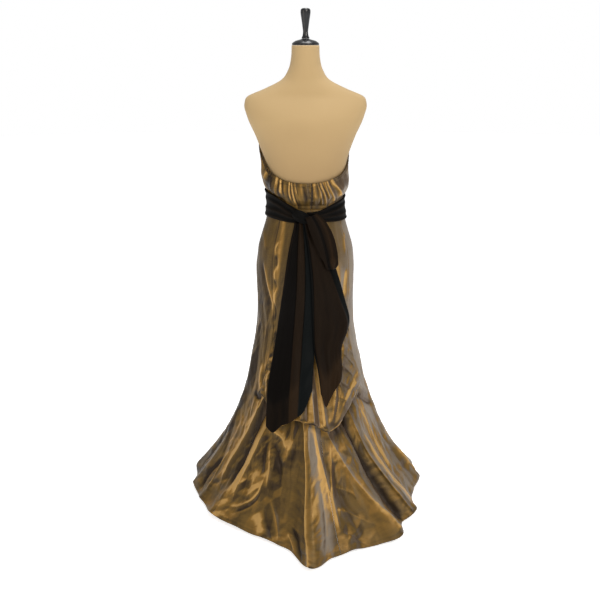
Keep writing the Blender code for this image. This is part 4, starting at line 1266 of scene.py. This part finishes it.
    def build(self, finishes: Finishes) -> None:
        """Front and side panels from waist to hem, the train, and the back panels over it."""
        fitted = np.linspace(0.0, 1.0, 70)
        full = np.concatenate([fitted, np.linspace(1.0, 2.0, 120)[1:]])
        low_part = np.linspace(self.train_start, 2.0, 130)
        to_tuck = np.concatenate([fitted, np.linspace(1.0, 2.0, 60)[1:], np.linspace(2.0, 3.0, 26)[1:]])
        ring, behind = self.shape.ring, self.shape.back
        all_round = self.upper_creases + self.flare_creases
        caught_up = self.upper_creases + self.swag_creases
        left, right = (SEAM_BACK_LEFT, SEAM_CENTRE), (SEAM_CENTRE, SEAM_BACK_RIGHT)
        over = (Held.DRAPED, ("skirt_back_left", "skirt_back_right"))
        for piece in (
            self.panel("skirt_front", ring, all_round, (SEAM_SIDE, 360 - SEAM_SIDE), full, 1.2, 0.0040),
            self.panel("skirt_side_right", ring, all_round, (SEAM_BACK_RIGHT, SEAM_SIDE), full, 0.5, 0.0046),
            self.panel("skirt_side_left", ring, all_round, (-SEAM_SIDE, SEAM_BACK_LEFT), full, 0.5, 0.0046),
            self.panel("train_left", ring, all_round, left, low_part, 0.3, 0.0052, *over),
            self.panel("train_right", ring, all_round, right, low_part, 0.3, 0.0052, *over),
            self.panel("skirt_back_left", behind, caught_up, left, to_tuck, 0.4, 0.0030),
            self.panel("skirt_back_right", behind, caught_up, right, to_tuck, 0.4, 0.0030),
        ):
            piece.build(finishes.taffeta, Slot.TAFFETA)


# ---------------------------------------------------------------- the bodice

@dataclass(frozen=True)
class Bodice:
    """The strapless bodice: gathered above the sash at the back, with a shirred upper edge and a zip.

    A place from 0 to 1 is between the neckline and the sash, and from 1 to 2 between there and
    the waist seam.
    """

    form: DressForm = DressForm()
    neckline: Table = Table(
        ("angle", "z"),
        (
            (-180.0, 1.222), (-150.0, 1.242), (-120.0, 1.232), (-100.0, 1.208), (-88.0, 1.186),
            (-72.0, 1.136), (-50.0, 1.102), (-25.0, 1.089), (0.0, 1.086), (25.0, 1.088), (50.0, 1.098),
            (72.0, 1.118), (88.0, 1.146), (100.0, 1.178), (120.0, 1.220), (150.0, 1.242), (180.0, 1.222),
        ),
    )
    band: Table = Table(
        ("angle", "top_z", "bottom_z"),
        (
            (-180.0, 1.050, 0.964), (-135.0, 1.052, 0.966), (-90.0, 1.056, 0.972), (-60.0, 1.043, 0.968),
            (-35.0, 1.020, 0.962), (-12.0, 1.000, 0.960), (12.0, 0.994, 0.960), (30.0, 1.000, 0.962),
            (55.0, 1.018, 0.960), (90.0, 1.038, 0.962), (135.0, 1.046, 0.962), (180.0, 1.050, 0.964),
        ),
    )
    gap: float = 0.0044
    puff: float = 0.010
    edge_height: float = 0.012
    edge_off: float = 0.0006
    zip_off: float = 0.0028
    zip_half_angle: float = 1.6     # degrees
    thickness: float = 0.0008
    gathers: tuple[tuple[float, ...], ...] = (
        # top_angle, bottom_angle, width, height, tone: a painted highlight on the ridge (painted shade below
        # 0), reach: where it stops, 1 at the sash
        (-84.0, -80.0, 6.0, 0.0040, 0.3, 1.2),
        (-70.0, -74.0, 5.0, 0.0070, 0.8, 0.7),
        (-62.0, -60.0, 4.5, 0.0060, -0.5, 1.2),
        (-52.0, -54.0, 2.6, 0.0060, 0.9, 1.2),
        (-45.0, -42.0, 2.2, 0.0060, 0.8, 0.8),
        (-38.0, -36.0, 3.2, 0.0045, 0.35, 1.2),
        (-31.0, -26.0, 1.6, 0.0060, 0.9, 0.9),
        (-26.0, -18.0, 1.5, 0.0045, 0.8, 1.2),
        (-20.0, -10.0, 1.3, 0.0030, 0.6, 0.6),
        (-10.0, -3.0, 3.0, 0.0018, 0.4, 0.9),
        (1.0, 4.0, 2.0, 0.0015, -0.3, 0.8),
        (16.0, 20.0, 3.0, 0.0022, 0.4, 0.8),
        (23.0, 33.0, 1.5, 0.0055, 0.7, 1.1),
        (28.0, 42.0, 1.7, 0.0060, 1.0, 1.2),
        (35.0, 50.0, 1.3, 0.0060, 0.5, 0.8),
        (40.0, 58.0, 2.0, 0.0065, 1.0, 1.2),
        (48.0, 72.0, 2.4, 0.0085, 1.3, 1.0),
        (64.0, 70.0, 6.0, 0.0065, -0.9, 0.75),
        (84.0, 84.0, 5.0, 0.0040, 0.3, 1.2),
    )

    def heights(self, angle: Array, place: Array) -> Array:
        """Height of each place: the neckline at 0, just over the sash at 1, the waist seam at 2."""
        side = turned(angle)
        top, start = self.neckline.read(side, "z"), self.band.read(side, "top_z") + 0.004
        waist = WAIST_Z + SEAM
        start = np.maximum(start, waist + 0.010)
        upper = top + (start - top) * np.clip(place, -0.05, 1)
        return np.where(place <= 1, upper, start + (waist - start) * np.clip(place - 1, 0, 1))

    def skin(self, angle: Array, place: Array) -> Array:
        """The bodice without its gathers: the form's surface moved out, puffed over the sash."""
        angle, place = np.broadcast_arrays(np.asarray(angle, float), np.asarray(place, float))
        z = self.heights(angle, place)
        back = ease((115.0 - np.abs(turned(angle))) / 40.0)
        puff = self.puff * np.sin(math.pi * np.clip(1 - place, 0, 1) ** 0.8) * (0.30 + 0.70 * back)
        puff = puff - 0.0018 * ease((np.abs(turned(angle)) - 55) / 20) * np.exp(-((place / 0.2) ** 2))
        return around(angle, self.form.radius(angle, z) + self.gap + puff, z)

    def gathered(self, angle: Array, place: Array) -> tuple[Array, Array, Array]:
        """The bodice with its gathers: ridges that fan from the neckline to the sash, deepest midway.

        Args:
            angle: Angles of the grid.
            place: Places of the grid.

        Returns:
            The points, and their tone and cool tints; the tone paints highlights on the gathers and shade
            beside them.
        """
        points = self.skin(angle, place)
        side = turned(angle)
        share = np.clip(place, 0, 1)
        swell = 0.45 + 0.55 * np.sin(math.pi * share) ** 0.7
        lift, tone = np.zeros(angle.shape), np.zeros(angle.shape)
        for top_angle, bottom_angle, width, height, glow, reach in self.gathers:
            wander = drift(share, top_angle + 0 * share, 0.45, 2)
            ridge = top_angle + (bottom_angle - top_angle) * share**1.3 + 0.9 * wander
            across = (side - ridge) / (width * (1 + 0.35 * share))
            held = swell * ease((reach - share) / 0.25)
            weight = np.exp(-(np.abs(across) ** 1.2)) * held
            lift += height * weight
            # painted highlight along each gather, and painted shade in the hollow at its side
            tone += glow * weight - 1.1 * np.abs(glow) * np.exp(-(((across - 1.6) / 0.6) ** 2)) * held
        folded = facets(np.radians(angle) * 0.12, points[..., 2] * 0.50, 0.013, 4)
        lift += 0.0022 * folded * swell * np.where(np.abs(side - 3) < 14, 0.6, 1.0)
        seam = np.abs(side - SEAM_CENTRE)
        lift -= 0.0030 * np.exp(-((seam / 1.1) ** 2))
        lift += 0.0010 * np.sin(points[..., 2] * 2 * math.pi / 0.016) * np.exp(-((seam / 5.0) ** 2))
        lift = np.where(place > 1, lift * 0.25, lift)
        normals = skin_normals(self.skin, angle, place)
        points = points + normals * (lift - 0.0010)[..., None]
        tone -= 1.2 * np.exp(-((seam / 0.7) ** 2))
        # raised facets are painted lighter: painted light
        return points, tone * 0.8 + 0.06 + 0.30 * folded, 0.10 + 0 * tone

    def build(self, finishes: Finishes) -> None:
        """The three panels, the shirred edge and the zip."""
        places = np.concatenate([np.linspace(0, 1, 54), np.linspace(1, 2, 14)[1:]])
        fine, plain = 0.45, 1.5         # spacing of the columns, in degrees
        for node, low, high, step in (
            ("bodice_back_left", -SEAM_SIDE, SEAM_CENTRE, fine),
            ("bodice_back_right", SEAM_CENTRE, SEAM_SIDE, fine),
            ("bodice_front", SEAM_SIDE, 360 - SEAM_SIDE, plain),
        ):
            angle, place = np.meshgrid(np.linspace(low, high, int((high - low) / step) + 1), places)
            points, tone, cool = self.gathered(angle, place)
            open_seams(points, angle)
            piece = ClothPiece(node, points, self.thickness, tone, cool, Held.GATHERED)
            piece.build(finishes.taffeta, Slot.TAFFETA)
        self.build_edge(finishes)
        self.build_zip(finishes)

    def build_edge(self, finishes: Finishes) -> None:
        """The edge: a narrow strip that follows the gathers, shirred at the sides in two rows of puffs, whose
        tops are painted lighter than the hollows between them, with painted shade along its upper line.
        """
        turn = np.linspace(SEAM_CENTRE + 0.1, SEAM_CENTRE + 359.9, 720)
        angle, share = np.meshgrid(turn, np.linspace(0, 1, 14))
        side = turned(angle)
        top, start = self.neckline.read(side, "z"), self.band.read(side, "top_z")
        place = share * self.edge_height / (top - start)
        points, tone, cool = self.gathered(angle, place)
        sides = ease((np.abs(side) - 52) / 14)
        puffs = np.abs(np.sin(np.radians(angle) * 58 + 1.2 * drift(angle, share, 7.0, 6)))
        rows = np.abs(np.sin(math.pi * share * 2)) ** 0.6
        lift = self.edge_off + 0.0010 + (0.0016 * puffs * rows - 0.0004) * sides
        points = points + skin_normals(self.skin, angle, place) * lift[..., None]
        # painted light on the puffs and painted shade between them, and painted shade along the top
        tone = tone * (1 - sides) + (0.6 * puffs * rows - 0.55) * sides
        tone -= 0.5 * np.exp(-(((share - 0.05) / 0.06) ** 2))
        piece = ClothPiece("neckline_edge", points, self.thickness, tone, cool, Held.GATHERED)
        piece.build(finishes.taffeta, Slot.TAFFETA)

    def build_zip(self, finishes: Finishes) -> None:
        """The closed zip: two lips of tape that meet over the teeth, from the shirred edge to the sash."""
        across, place = np.meshgrid(np.linspace(-1, 1, 25), np.linspace(0.16, 0.97, 120))
        angle = SEAM_CENTRE + self.zip_half_angle * across
        lips = 0.0011 * np.exp(-(((np.abs(across) - 0.42) / 0.34) ** 2))
        groove = 0.0006 * np.exp(-((across / 0.09) ** 2))
        teeth = 0.00035 * np.sin(place * 260) * np.exp(-((across / 0.22) ** 2))
        points, _, _ = self.gathered(angle, place)
        lift = self.zip_off + lips - groove + teeth
        points = points + skin_normals(self.skin, angle, place) * lift[..., None]
        piece = ClothPiece("back_zip", points, self.thickness, 0 * across, 0 * across)
        piece.build(finishes.tape, Slot.TAPE)


# ---------------------------------------------------------------- the sash

@dataclass(frozen=True)
class Tail:
    """One hanging end of the sash: its edges by height, its slanted lower edge and its folds."""

    node: str
    edges: Table
    end: Table
    lift: Table
    planes: tuple[tuple[float, ...], ...]


@dataclass(frozen=True)
class Sash:
    """The satin sash: a folded band, a flat knot, one loop and two long tails."""

    shape: SkirtShape = SkirtShape()
    bodice: Bodice = Bodice()
    band_start: float = 3.0
    band_off: float = 0.0048
    band_columns: int = 320
    band_rows: int = 40
    tail_top: float = 0.964
    tail_off: float = 0.0060
    tail_columns: int = 60
    tail_rows: int = 150
    spread: float = 0.70
    # a hanging tail lies where the gown's mean depth over these heights puts it
    depth_span: tuple[float, ...] = (-0.06, -0.03, 0.0, 0.03, 0.06)
    thickness: float = 0.0009
    knot_centre: tuple[float, float, float] = (-0.014, -0.1125, 0.983)
    knot_half: tuple[float, float, float] = (0.0300, 0.0115, 0.0175)
    knot_slant: float = -28.0       # degrees; its right end is the lower one
    knot_flat: tuple[float, float] = (0.085, 0.060)     # the patch of cloth that would cover it
    left: Tail = Tail(
        "sash_tail_left",
        Table(
            ("z", "left", "right"),
            (
                (0.300, -0.130, 0.0180),
                (0.434, -0.123, 0.0220),
                (0.556, -0.102, 0.0300),
                (0.748, -0.073, 0.0280),
                (0.880, -0.053, 0.0160),
                (0.957, -0.036, 0.0020),
            ),
        ),
        Table(
            ("across", "z"),
            ((0.00, 0.318), (0.16, 0.306), (0.34, 0.326), (0.62, 0.348), (0.86, 0.382), (1.00, 0.432)),
        ),
        Table(
            ("across", "lift"),
            (
                (0.00, 0.004), (0.12, 0.009), (0.34, 0.005), (0.50, 0.010), (0.70, 0.005), (0.84, 0.003),
                (1.00, 0.002),
            ),
        ),
        # line_top, line_bottom, step, tone, cool: from its line to the next the cloth lies in one plane,
        # painted as a lit or shaded plane by its tone and cool
        (
            (-0.10, -0.10, 0.0000, 0.00, 0.0),
            (0.16, -0.20, 0.0000, -0.45, 0.0),
            (0.42, 0.50, 0.0040, 0.22, 0.0),
            (0.74, 0.68, -0.0045, -0.30, 0.9),
        ),
    )
    right: Tail = Tail(
        "sash_tail_right",
        Table(
            ("z", "left", "right"),
            (
                (0.367, 0.056, 0.0900),
                (0.476, 0.042, 0.1200),
                (0.552, 0.028, 0.1190),
                (0.630, 0.024, 0.1450),
                (0.714, 0.021, 0.1280),
                (0.808, 0.016, 0.1010),
                (0.880, 0.008, 0.0760),
                (0.957, -0.004, 0.0300),
            ),
        ),
        Table(("across", "z"), ((0.00, 0.422), (0.30, 0.386), (0.60, 0.410), (1.00, 0.456))),
        Table(
            ("across", "lift"),
            (
                (0.00, 0.0090), (0.12, 0.0110), (0.34, 0.0090), (0.50, 0.0120), (0.74, 0.0065),
                (0.90, 0.0100), (1.00, 0.0040),
            ),
        ),
        (
            (-0.10, -0.10, 0.0000, -0.40, 0.3),
            (0.12, 0.03, 0.0030, 0.15, 0.0),
            (0.58, 1.20, -0.0045, -0.40, 0.5),
        ),
    )
    loop: Table = Table(
        ("z", "x", "half_width"),
        (
            (0.826, 0.084, 0.0210),
            (0.870, 0.074, 0.0280),
            (0.930, 0.052, 0.0310),
            (0.965, 0.033, 0.0270),
            (0.988, 0.018, 0.0190),
        ),
    )
    loop_depth: float = 0.014
    loop_off: float = 0.023     # from the tail behind it
    loop_end: float = 0.006     # how far the end is rounded
    band_folds: tuple[tuple[float, ...], ...] = (
        # share_side, share_knot, width, height
        (0.04, 0.12, 0.05, 0.0022),
        (0.20, 0.28, 0.06, -0.0022),
        (0.34, 0.46, 0.10, 0.0030),
        (0.72, 0.62, 0.09, 0.0030),
        (0.96, 0.94, 0.05, 0.0026),
    )

    def gown_radius(self, angle: Array, z: Array) -> Array:
        """Distance from the axis to the gown's outer face near the waist."""
        skirt = self.shape.fitted_radius(angle, np.minimum(z, WAIST_Z))
        bodice = self.bodice.form.radius(angle, np.maximum(z, WAIST_Z)) + self.bodice.gap
        return np.where(z > WAIST_Z, bodice, skirt)

    def back_depth(self, x: Array, z: Array) -> Array:
        """How far behind the axis cloth that hangs over the back is, found by halving steps."""
        depth = 0.13 + 0 * x * z
        for _ in range(12):
            angle = np.degrees(np.arctan2(x, depth))
            total = sum(self.shape.back_radius(angle, z + step) for step in self.depth_span)
            depth = 0.5 * depth + 0.5 * total / len(self.depth_span) * np.cos(np.radians(angle))
        return depth

    def build_band(self, finishes: Finishes) -> None:
        """The band round the waist, folded lengthwise; the folds wander and crowd towards the knot."""
        angles = np.linspace(self.band_start, 360 - self.band_start, self.band_columns)
        angle, share = np.meshgrid(angles, np.linspace(0, 1, self.band_rows))
        side = turned(angle)
        top, bottom = self.bodice.band.read(side, "top_z"), self.bodice.band.read(side, "bottom_z")
        z = top + (bottom - top) * share
        near = np.exp(-(((180 - np.abs(np.abs(side) - 180)) / 55.0) ** 2))
        lift, tone = 0.0016 * np.sin(math.pi * share) ** 0.5, -0.18 + 0 * share
        for side_share, knot_share, width, height in self.band_folds:
            line = side_share + (knot_share - side_share) * near + 0.05 * drift(angle, 0 * angle, 34.0, 7)
            weight = np.exp(-((np.abs(share - line) / width) ** 1.4))
            wave = 0.75 + 0.35 * drift(angle, share, 22.0, int(side_share * 100))
            lift = lift + height * weight * wave
            # painted highlight on the raised folds and painted shade in the sunk ones
            tone = tone + 0.35 * np.sign(height) * weight
        radius = self.gown_radius(angle, z) + self.band_off + np.maximum(lift, 0)
        points = around(angle, radius, z)
        piece = ClothPiece("sash_band", points, self.thickness, tone, 0.25 + 0 * tone, Held.FOLDED)
        piece.build(finishes.satin, Slot.SATIN)

    def build_tail(self, tail: Tail, finishes: Finishes) -> None:
        """A tail: its edges joined straight across, laid over the skirt and folded lengthwise."""
        across, share = np.meshgrid(np.linspace(0, 1, self.tail_columns), np.linspace(0, 1, self.tail_rows))
        z = self.tail_top + (tail.end.read(across, "z") - self.tail_top) * share
        x = tail.edges.read(z, "left") * (1 - across) + tail.edges.read(z, "right") * across
        lift, tone, cool = tail.lift.read(across, "lift"), 0 * across, 0 * across
        for top_line, low_line, step, glow, chill in tail.planes:
            line = top_line + (low_line - top_line) * share + 0.03 * drift(0 * across, share, 0.3, 15)
            beyond = 0.5 + 0.5 * np.tanh((across - line) / 0.012)
            crease = np.exp(-(((across - line) / 0.020) ** 2)) * (line > 0)
            lift = lift + step * (2 * beyond - 1) * ease(share / 0.15) * ease((1.05 - share) / 0.3)
            # painted light: each plane takes its own tone and cool, and a painted highlight runs along the
            # fold between two planes
            tone = tone + (glow - tone) * beyond + 0.25 * crease
            cool = cool + (chill - cool) * beyond
        # painted highlight on the lower end, where the cloth swells
        tone = tone + 0.45 * ease((share - 0.80) / 0.10) * (cool < 0.3)
        lift = lift + 0.0010 * drift(x * 2.2, z, 0.05, 12) + 0.0008 * facets(x, z * 0.35, 0.030, 21)
        swell = np.sin((share - 0.82) * 2 * math.pi / 0.16) * np.exp(-(((share - 0.86) / 0.07) ** 2))
        lift = lift + 0.0016 * swell
        depth = self.back_depth(self.spread * x, z) + self.tail_off + np.maximum(lift, -0.004)
        points = np.stack([x, -depth, z], axis=-1)
        piece = ClothPiece(
            tail.node, points, self.thickness, tone, np.clip(cool, 0, 1), Held.HUNG, ("sash_band",)
        )
        piece.build(finishes.satin, Slot.SATIN)

    def build_loop(self, finishes: Finishes) -> None:
        """The loop: one strip down its outer layer, round the end and up its inner layer.

        Across the strip the outer layer is cupped, with two creases that meet near the end.
        """
        table = self.loop
        low, high = table.rows[0][0], table.rows[-1][0]
        down = np.linspace(high, low, 60)
        turn = np.linspace(0, math.pi, 17)[1:-1]
        heights = np.concatenate([down, low - self.loop_end * np.sin(turn), down[::-1]])
        layer = np.concatenate([0 * down + 1, 0.5 + 0.5 * np.cos(turn), 0 * down])
        across, height = np.meshgrid(np.linspace(-1, 1, 36), heights)
        layer = layer[:, None] + 0 * across
        z = np.clip(height, low, None)
        slope = (table.read(z + 0.002, "x") - table.read(z - 0.002, "x")) / 0.004
        tilt = np.arctan(slope)
        half = table.read(z, "half_width")
        x = table.read(z, "x") + np.cos(tilt) * half * across
        rise = height - np.sin(tilt) * half * across + 0.012 * across**4 * ease(1 - (z - low) / 0.05)
        under = self.back_depth(self.spread * x, rise) + self.tail_off + self.loop_off
        share = (high - z) / (high - low)
        crease = 0.0035 * np.exp(-((np.abs(across - 0.75 + 0.5 * share) / 0.14) ** 1.3))
        crease = crease - 0.0035 * np.exp(-((np.abs(across - 0.15 + 0.5 * share) / 0.16) ** 1.3))
        # painted highlight: a gleam on the outer layer near the end
        gleam = np.exp(-(((across - 0.35) / 0.30) ** 2 + ((share - 0.90) / 0.07) ** 2)) * layer
        depth = under + self.loop_depth * layer * (1 - 0.25 * across**2) + crease * layer
        depth = depth + 0.004 * gleam
        points = np.stack([x, -depth, rise], axis=-1)
        # the raised crease painted lighter and the sunk one darker, with the gleam: painted highlight and
        # painted shade
        tone = 0.1 + 100 * crease + 0.9 * gleam
        piece = ClothPiece("sash_loop", points, self.thickness, tone, 0 * tone, Held.FOLDED, ("sash_knot",))
        piece.build(finishes.satin, Slot.SATIN)

    def build_knot(self, finishes: Finishes) -> None:
        """The flat knot: a rounded lump whose folds run slantwise over it from the band to the loop."""
        turn = np.linspace(0, 2 * math.pi, 96, endpoint=False)
        a, tip = np.meshgrid(turn, np.linspace(0.02, math.pi - 0.02, 64))
        cx, cy, cz = self.knot_centre
        hx, hy, hz = self.knot_half
        folds = 1.0 + 0.05 * np.cos(3 * a) + 0.07 * np.cos(7 * a + 1.5 * np.cos(tip)) * np.sin(tip)
        girth = np.sin(tip) ** 0.7 * folds
        along, across = hx * np.cos(tip) + 0 * a, hz * girth * np.sin(a)
        slant = math.radians(self.knot_slant)
        x = cx + along * math.cos(slant) - across * math.sin(slant)
        z = cz + along * math.sin(slant) + across * math.cos(slant)
        points = np.stack([x, cy + hy * girth * np.cos(a), z], axis=-1)
        made = ringed_solid("sash_knot_cloth", points[:, ::-1])
        for name, value in (("tone", -0.15), ("cool", 0.2)):
            add_tint(made, name, np.full(len(made.data.vertices), value))
        made.data.uv_layers.new(name="thread")
        made.data.materials.append(finishes.satin)
        enlist(made, "sash_knot")

    def build(self, finishes: Finishes) -> None:
        """The band, both tails, the loop and the knot over them."""
        self.build_band(finishes)
        self.build_tail(self.left, finishes)
        self.build_tail(self.right, finishes)
        self.build_loop(finishes)
        self.build_knot(finishes)


# ---------------------------------------------------------------- the studio

@dataclass(frozen=True)
class SoftBox:
    """One large soft light: where it stands, its size, power and colour."""

    name: str
    place: tuple[float, float, float]
    size: float
    power: float
    colour: str


@dataclass(frozen=True)
class Studio:
    """Pale floor and backdrop, soft lights and the camera."""

    camera_place: tuple[float, float, float] = (0.0, -2.93, 1.5)
    camera_down: float = 0.274          # radians below the horizon
    lens_mm: float = 53.8
    sensor_mm: float = 36.0
    shift_x: float = -0.0092
    target: tuple[float, float, float] = (0.0, 0.0, 0.75)
    lights: tuple[SoftBox, ...] = (
        SoftBox("key", (1.5, -3.0, 2.6), 1.2, 62.0, "#fff6ea"),
        SoftBox("fill", (-2.4, -2.0, 1.6), 1.8, 16.0, "#fff0dc"),
        SoftBox("top", (0.2, 0.2, 3.4), 1.2, 40.0, "#ffffff"),
    )
    floor_radius: float = 14.0
    floor_colour: str = "#f7f7f7"
    floor_glow: float = 0.75            # the floor is lit from below as well, so it stays white
    sky_light: float = 0.45             # how much of the white surroundings lights the gown

    def build(self) -> None:
        """Makes the floor, the surroundings, the lights and the camera."""
        scene = bpy.context.scene
        scene.view_settings.view_transform = "Standard"
        self.make_floor()
        self.make_sky(scene)
        for box in self.lights:
            self.make_light(box)
        data = bpy.data.cameras.new("camera")
        data.lens, data.sensor_width, data.shift_x = self.lens_mm, self.sensor_mm, self.shift_x
        camera = bpy.data.objects.new("camera", data)
        camera.location = self.camera_place
        camera.rotation_euler = (math.pi / 2 - self.camera_down, 0.0, 0.0)
        scene.collection.objects.link(camera)
        scene.camera = camera

    def make_floor(self) -> None:
        """A wide pale disc just under the hem."""
        turn = np.linspace(0, 360, 96, endpoint=False)
        rings = around(turn[None, :], self.floor_radius, np.array([[0.0], [-0.01]]))
        floor = ringed_solid("studio_floor", rings)
        made = bpy.data.materials.new("matt white paint")
        made.use_nodes = True
        inputs = made.node_tree.nodes["Principled BSDF"].inputs
        inputs["Base Color"].default_value = linear(self.floor_colour)
        inputs["Roughness"].default_value = 0.9
        inputs["Emission Color"].default_value = linear(self.floor_colour)
        inputs["Emission Strength"].default_value = self.floor_glow
        floor.data.materials.append(made)

    def make_sky(self, scene: bpy.types.Scene) -> None:
        """White surroundings: full white where they are seen, dimmer as a light."""
        world = bpy.data.worlds.new("white surroundings")
        world.use_nodes = True
        tree = world.node_tree
        seen = add_node(tree, "ShaderNodeLightPath").outputs["Is Camera Ray"]
        strength = add_node(
            tree, "ShaderNodeMapRange", {"Value": seen, "To Min": self.sky_light, "To Max": 1.0}
        ).outputs["Result"]
        ground = tree.nodes["Background"]
        ground.inputs["Color"].default_value = (1.0, 1.0, 1.0, 1.0)
        tree.links.new(strength, ground.inputs["Strength"])
        scene.world = world

    def make_light(self, box: SoftBox) -> None:
        """One square light, turned to face the gown."""
        data = bpy.data.lights.new(box.name, "AREA")
        data.size, data.energy, data.color = box.size, box.power, linear(box.colour)[:3]
        made = bpy.data.objects.new(box.name, data)
        made.location = box.place
        away = np.array(self.target) - np.array(box.place)
        level = math.hypot(away[0], away[1])
        made.rotation_euler = (math.pi / 2 + math.atan2(away[2], level), 0.0, math.atan2(-away[0], away[1]))
        bpy.context.scene.collection.objects.link(made)


# ---------------------------------------------------------------- all of it

def main() -> None:
    """Builds the studio, the form and the gown."""
    logging.basicConfig(level=logging.INFO, format="%(name)s: %(message)s")
    Studio().build()
    finishes = Finishes()
    DressForm().build(finishes)
    Stand().build(finishes)
    Skirt().build(finishes)
    Bodice().build(finishes)
    Sash().build(finishes)


if __name__ == "__main__":
    main()
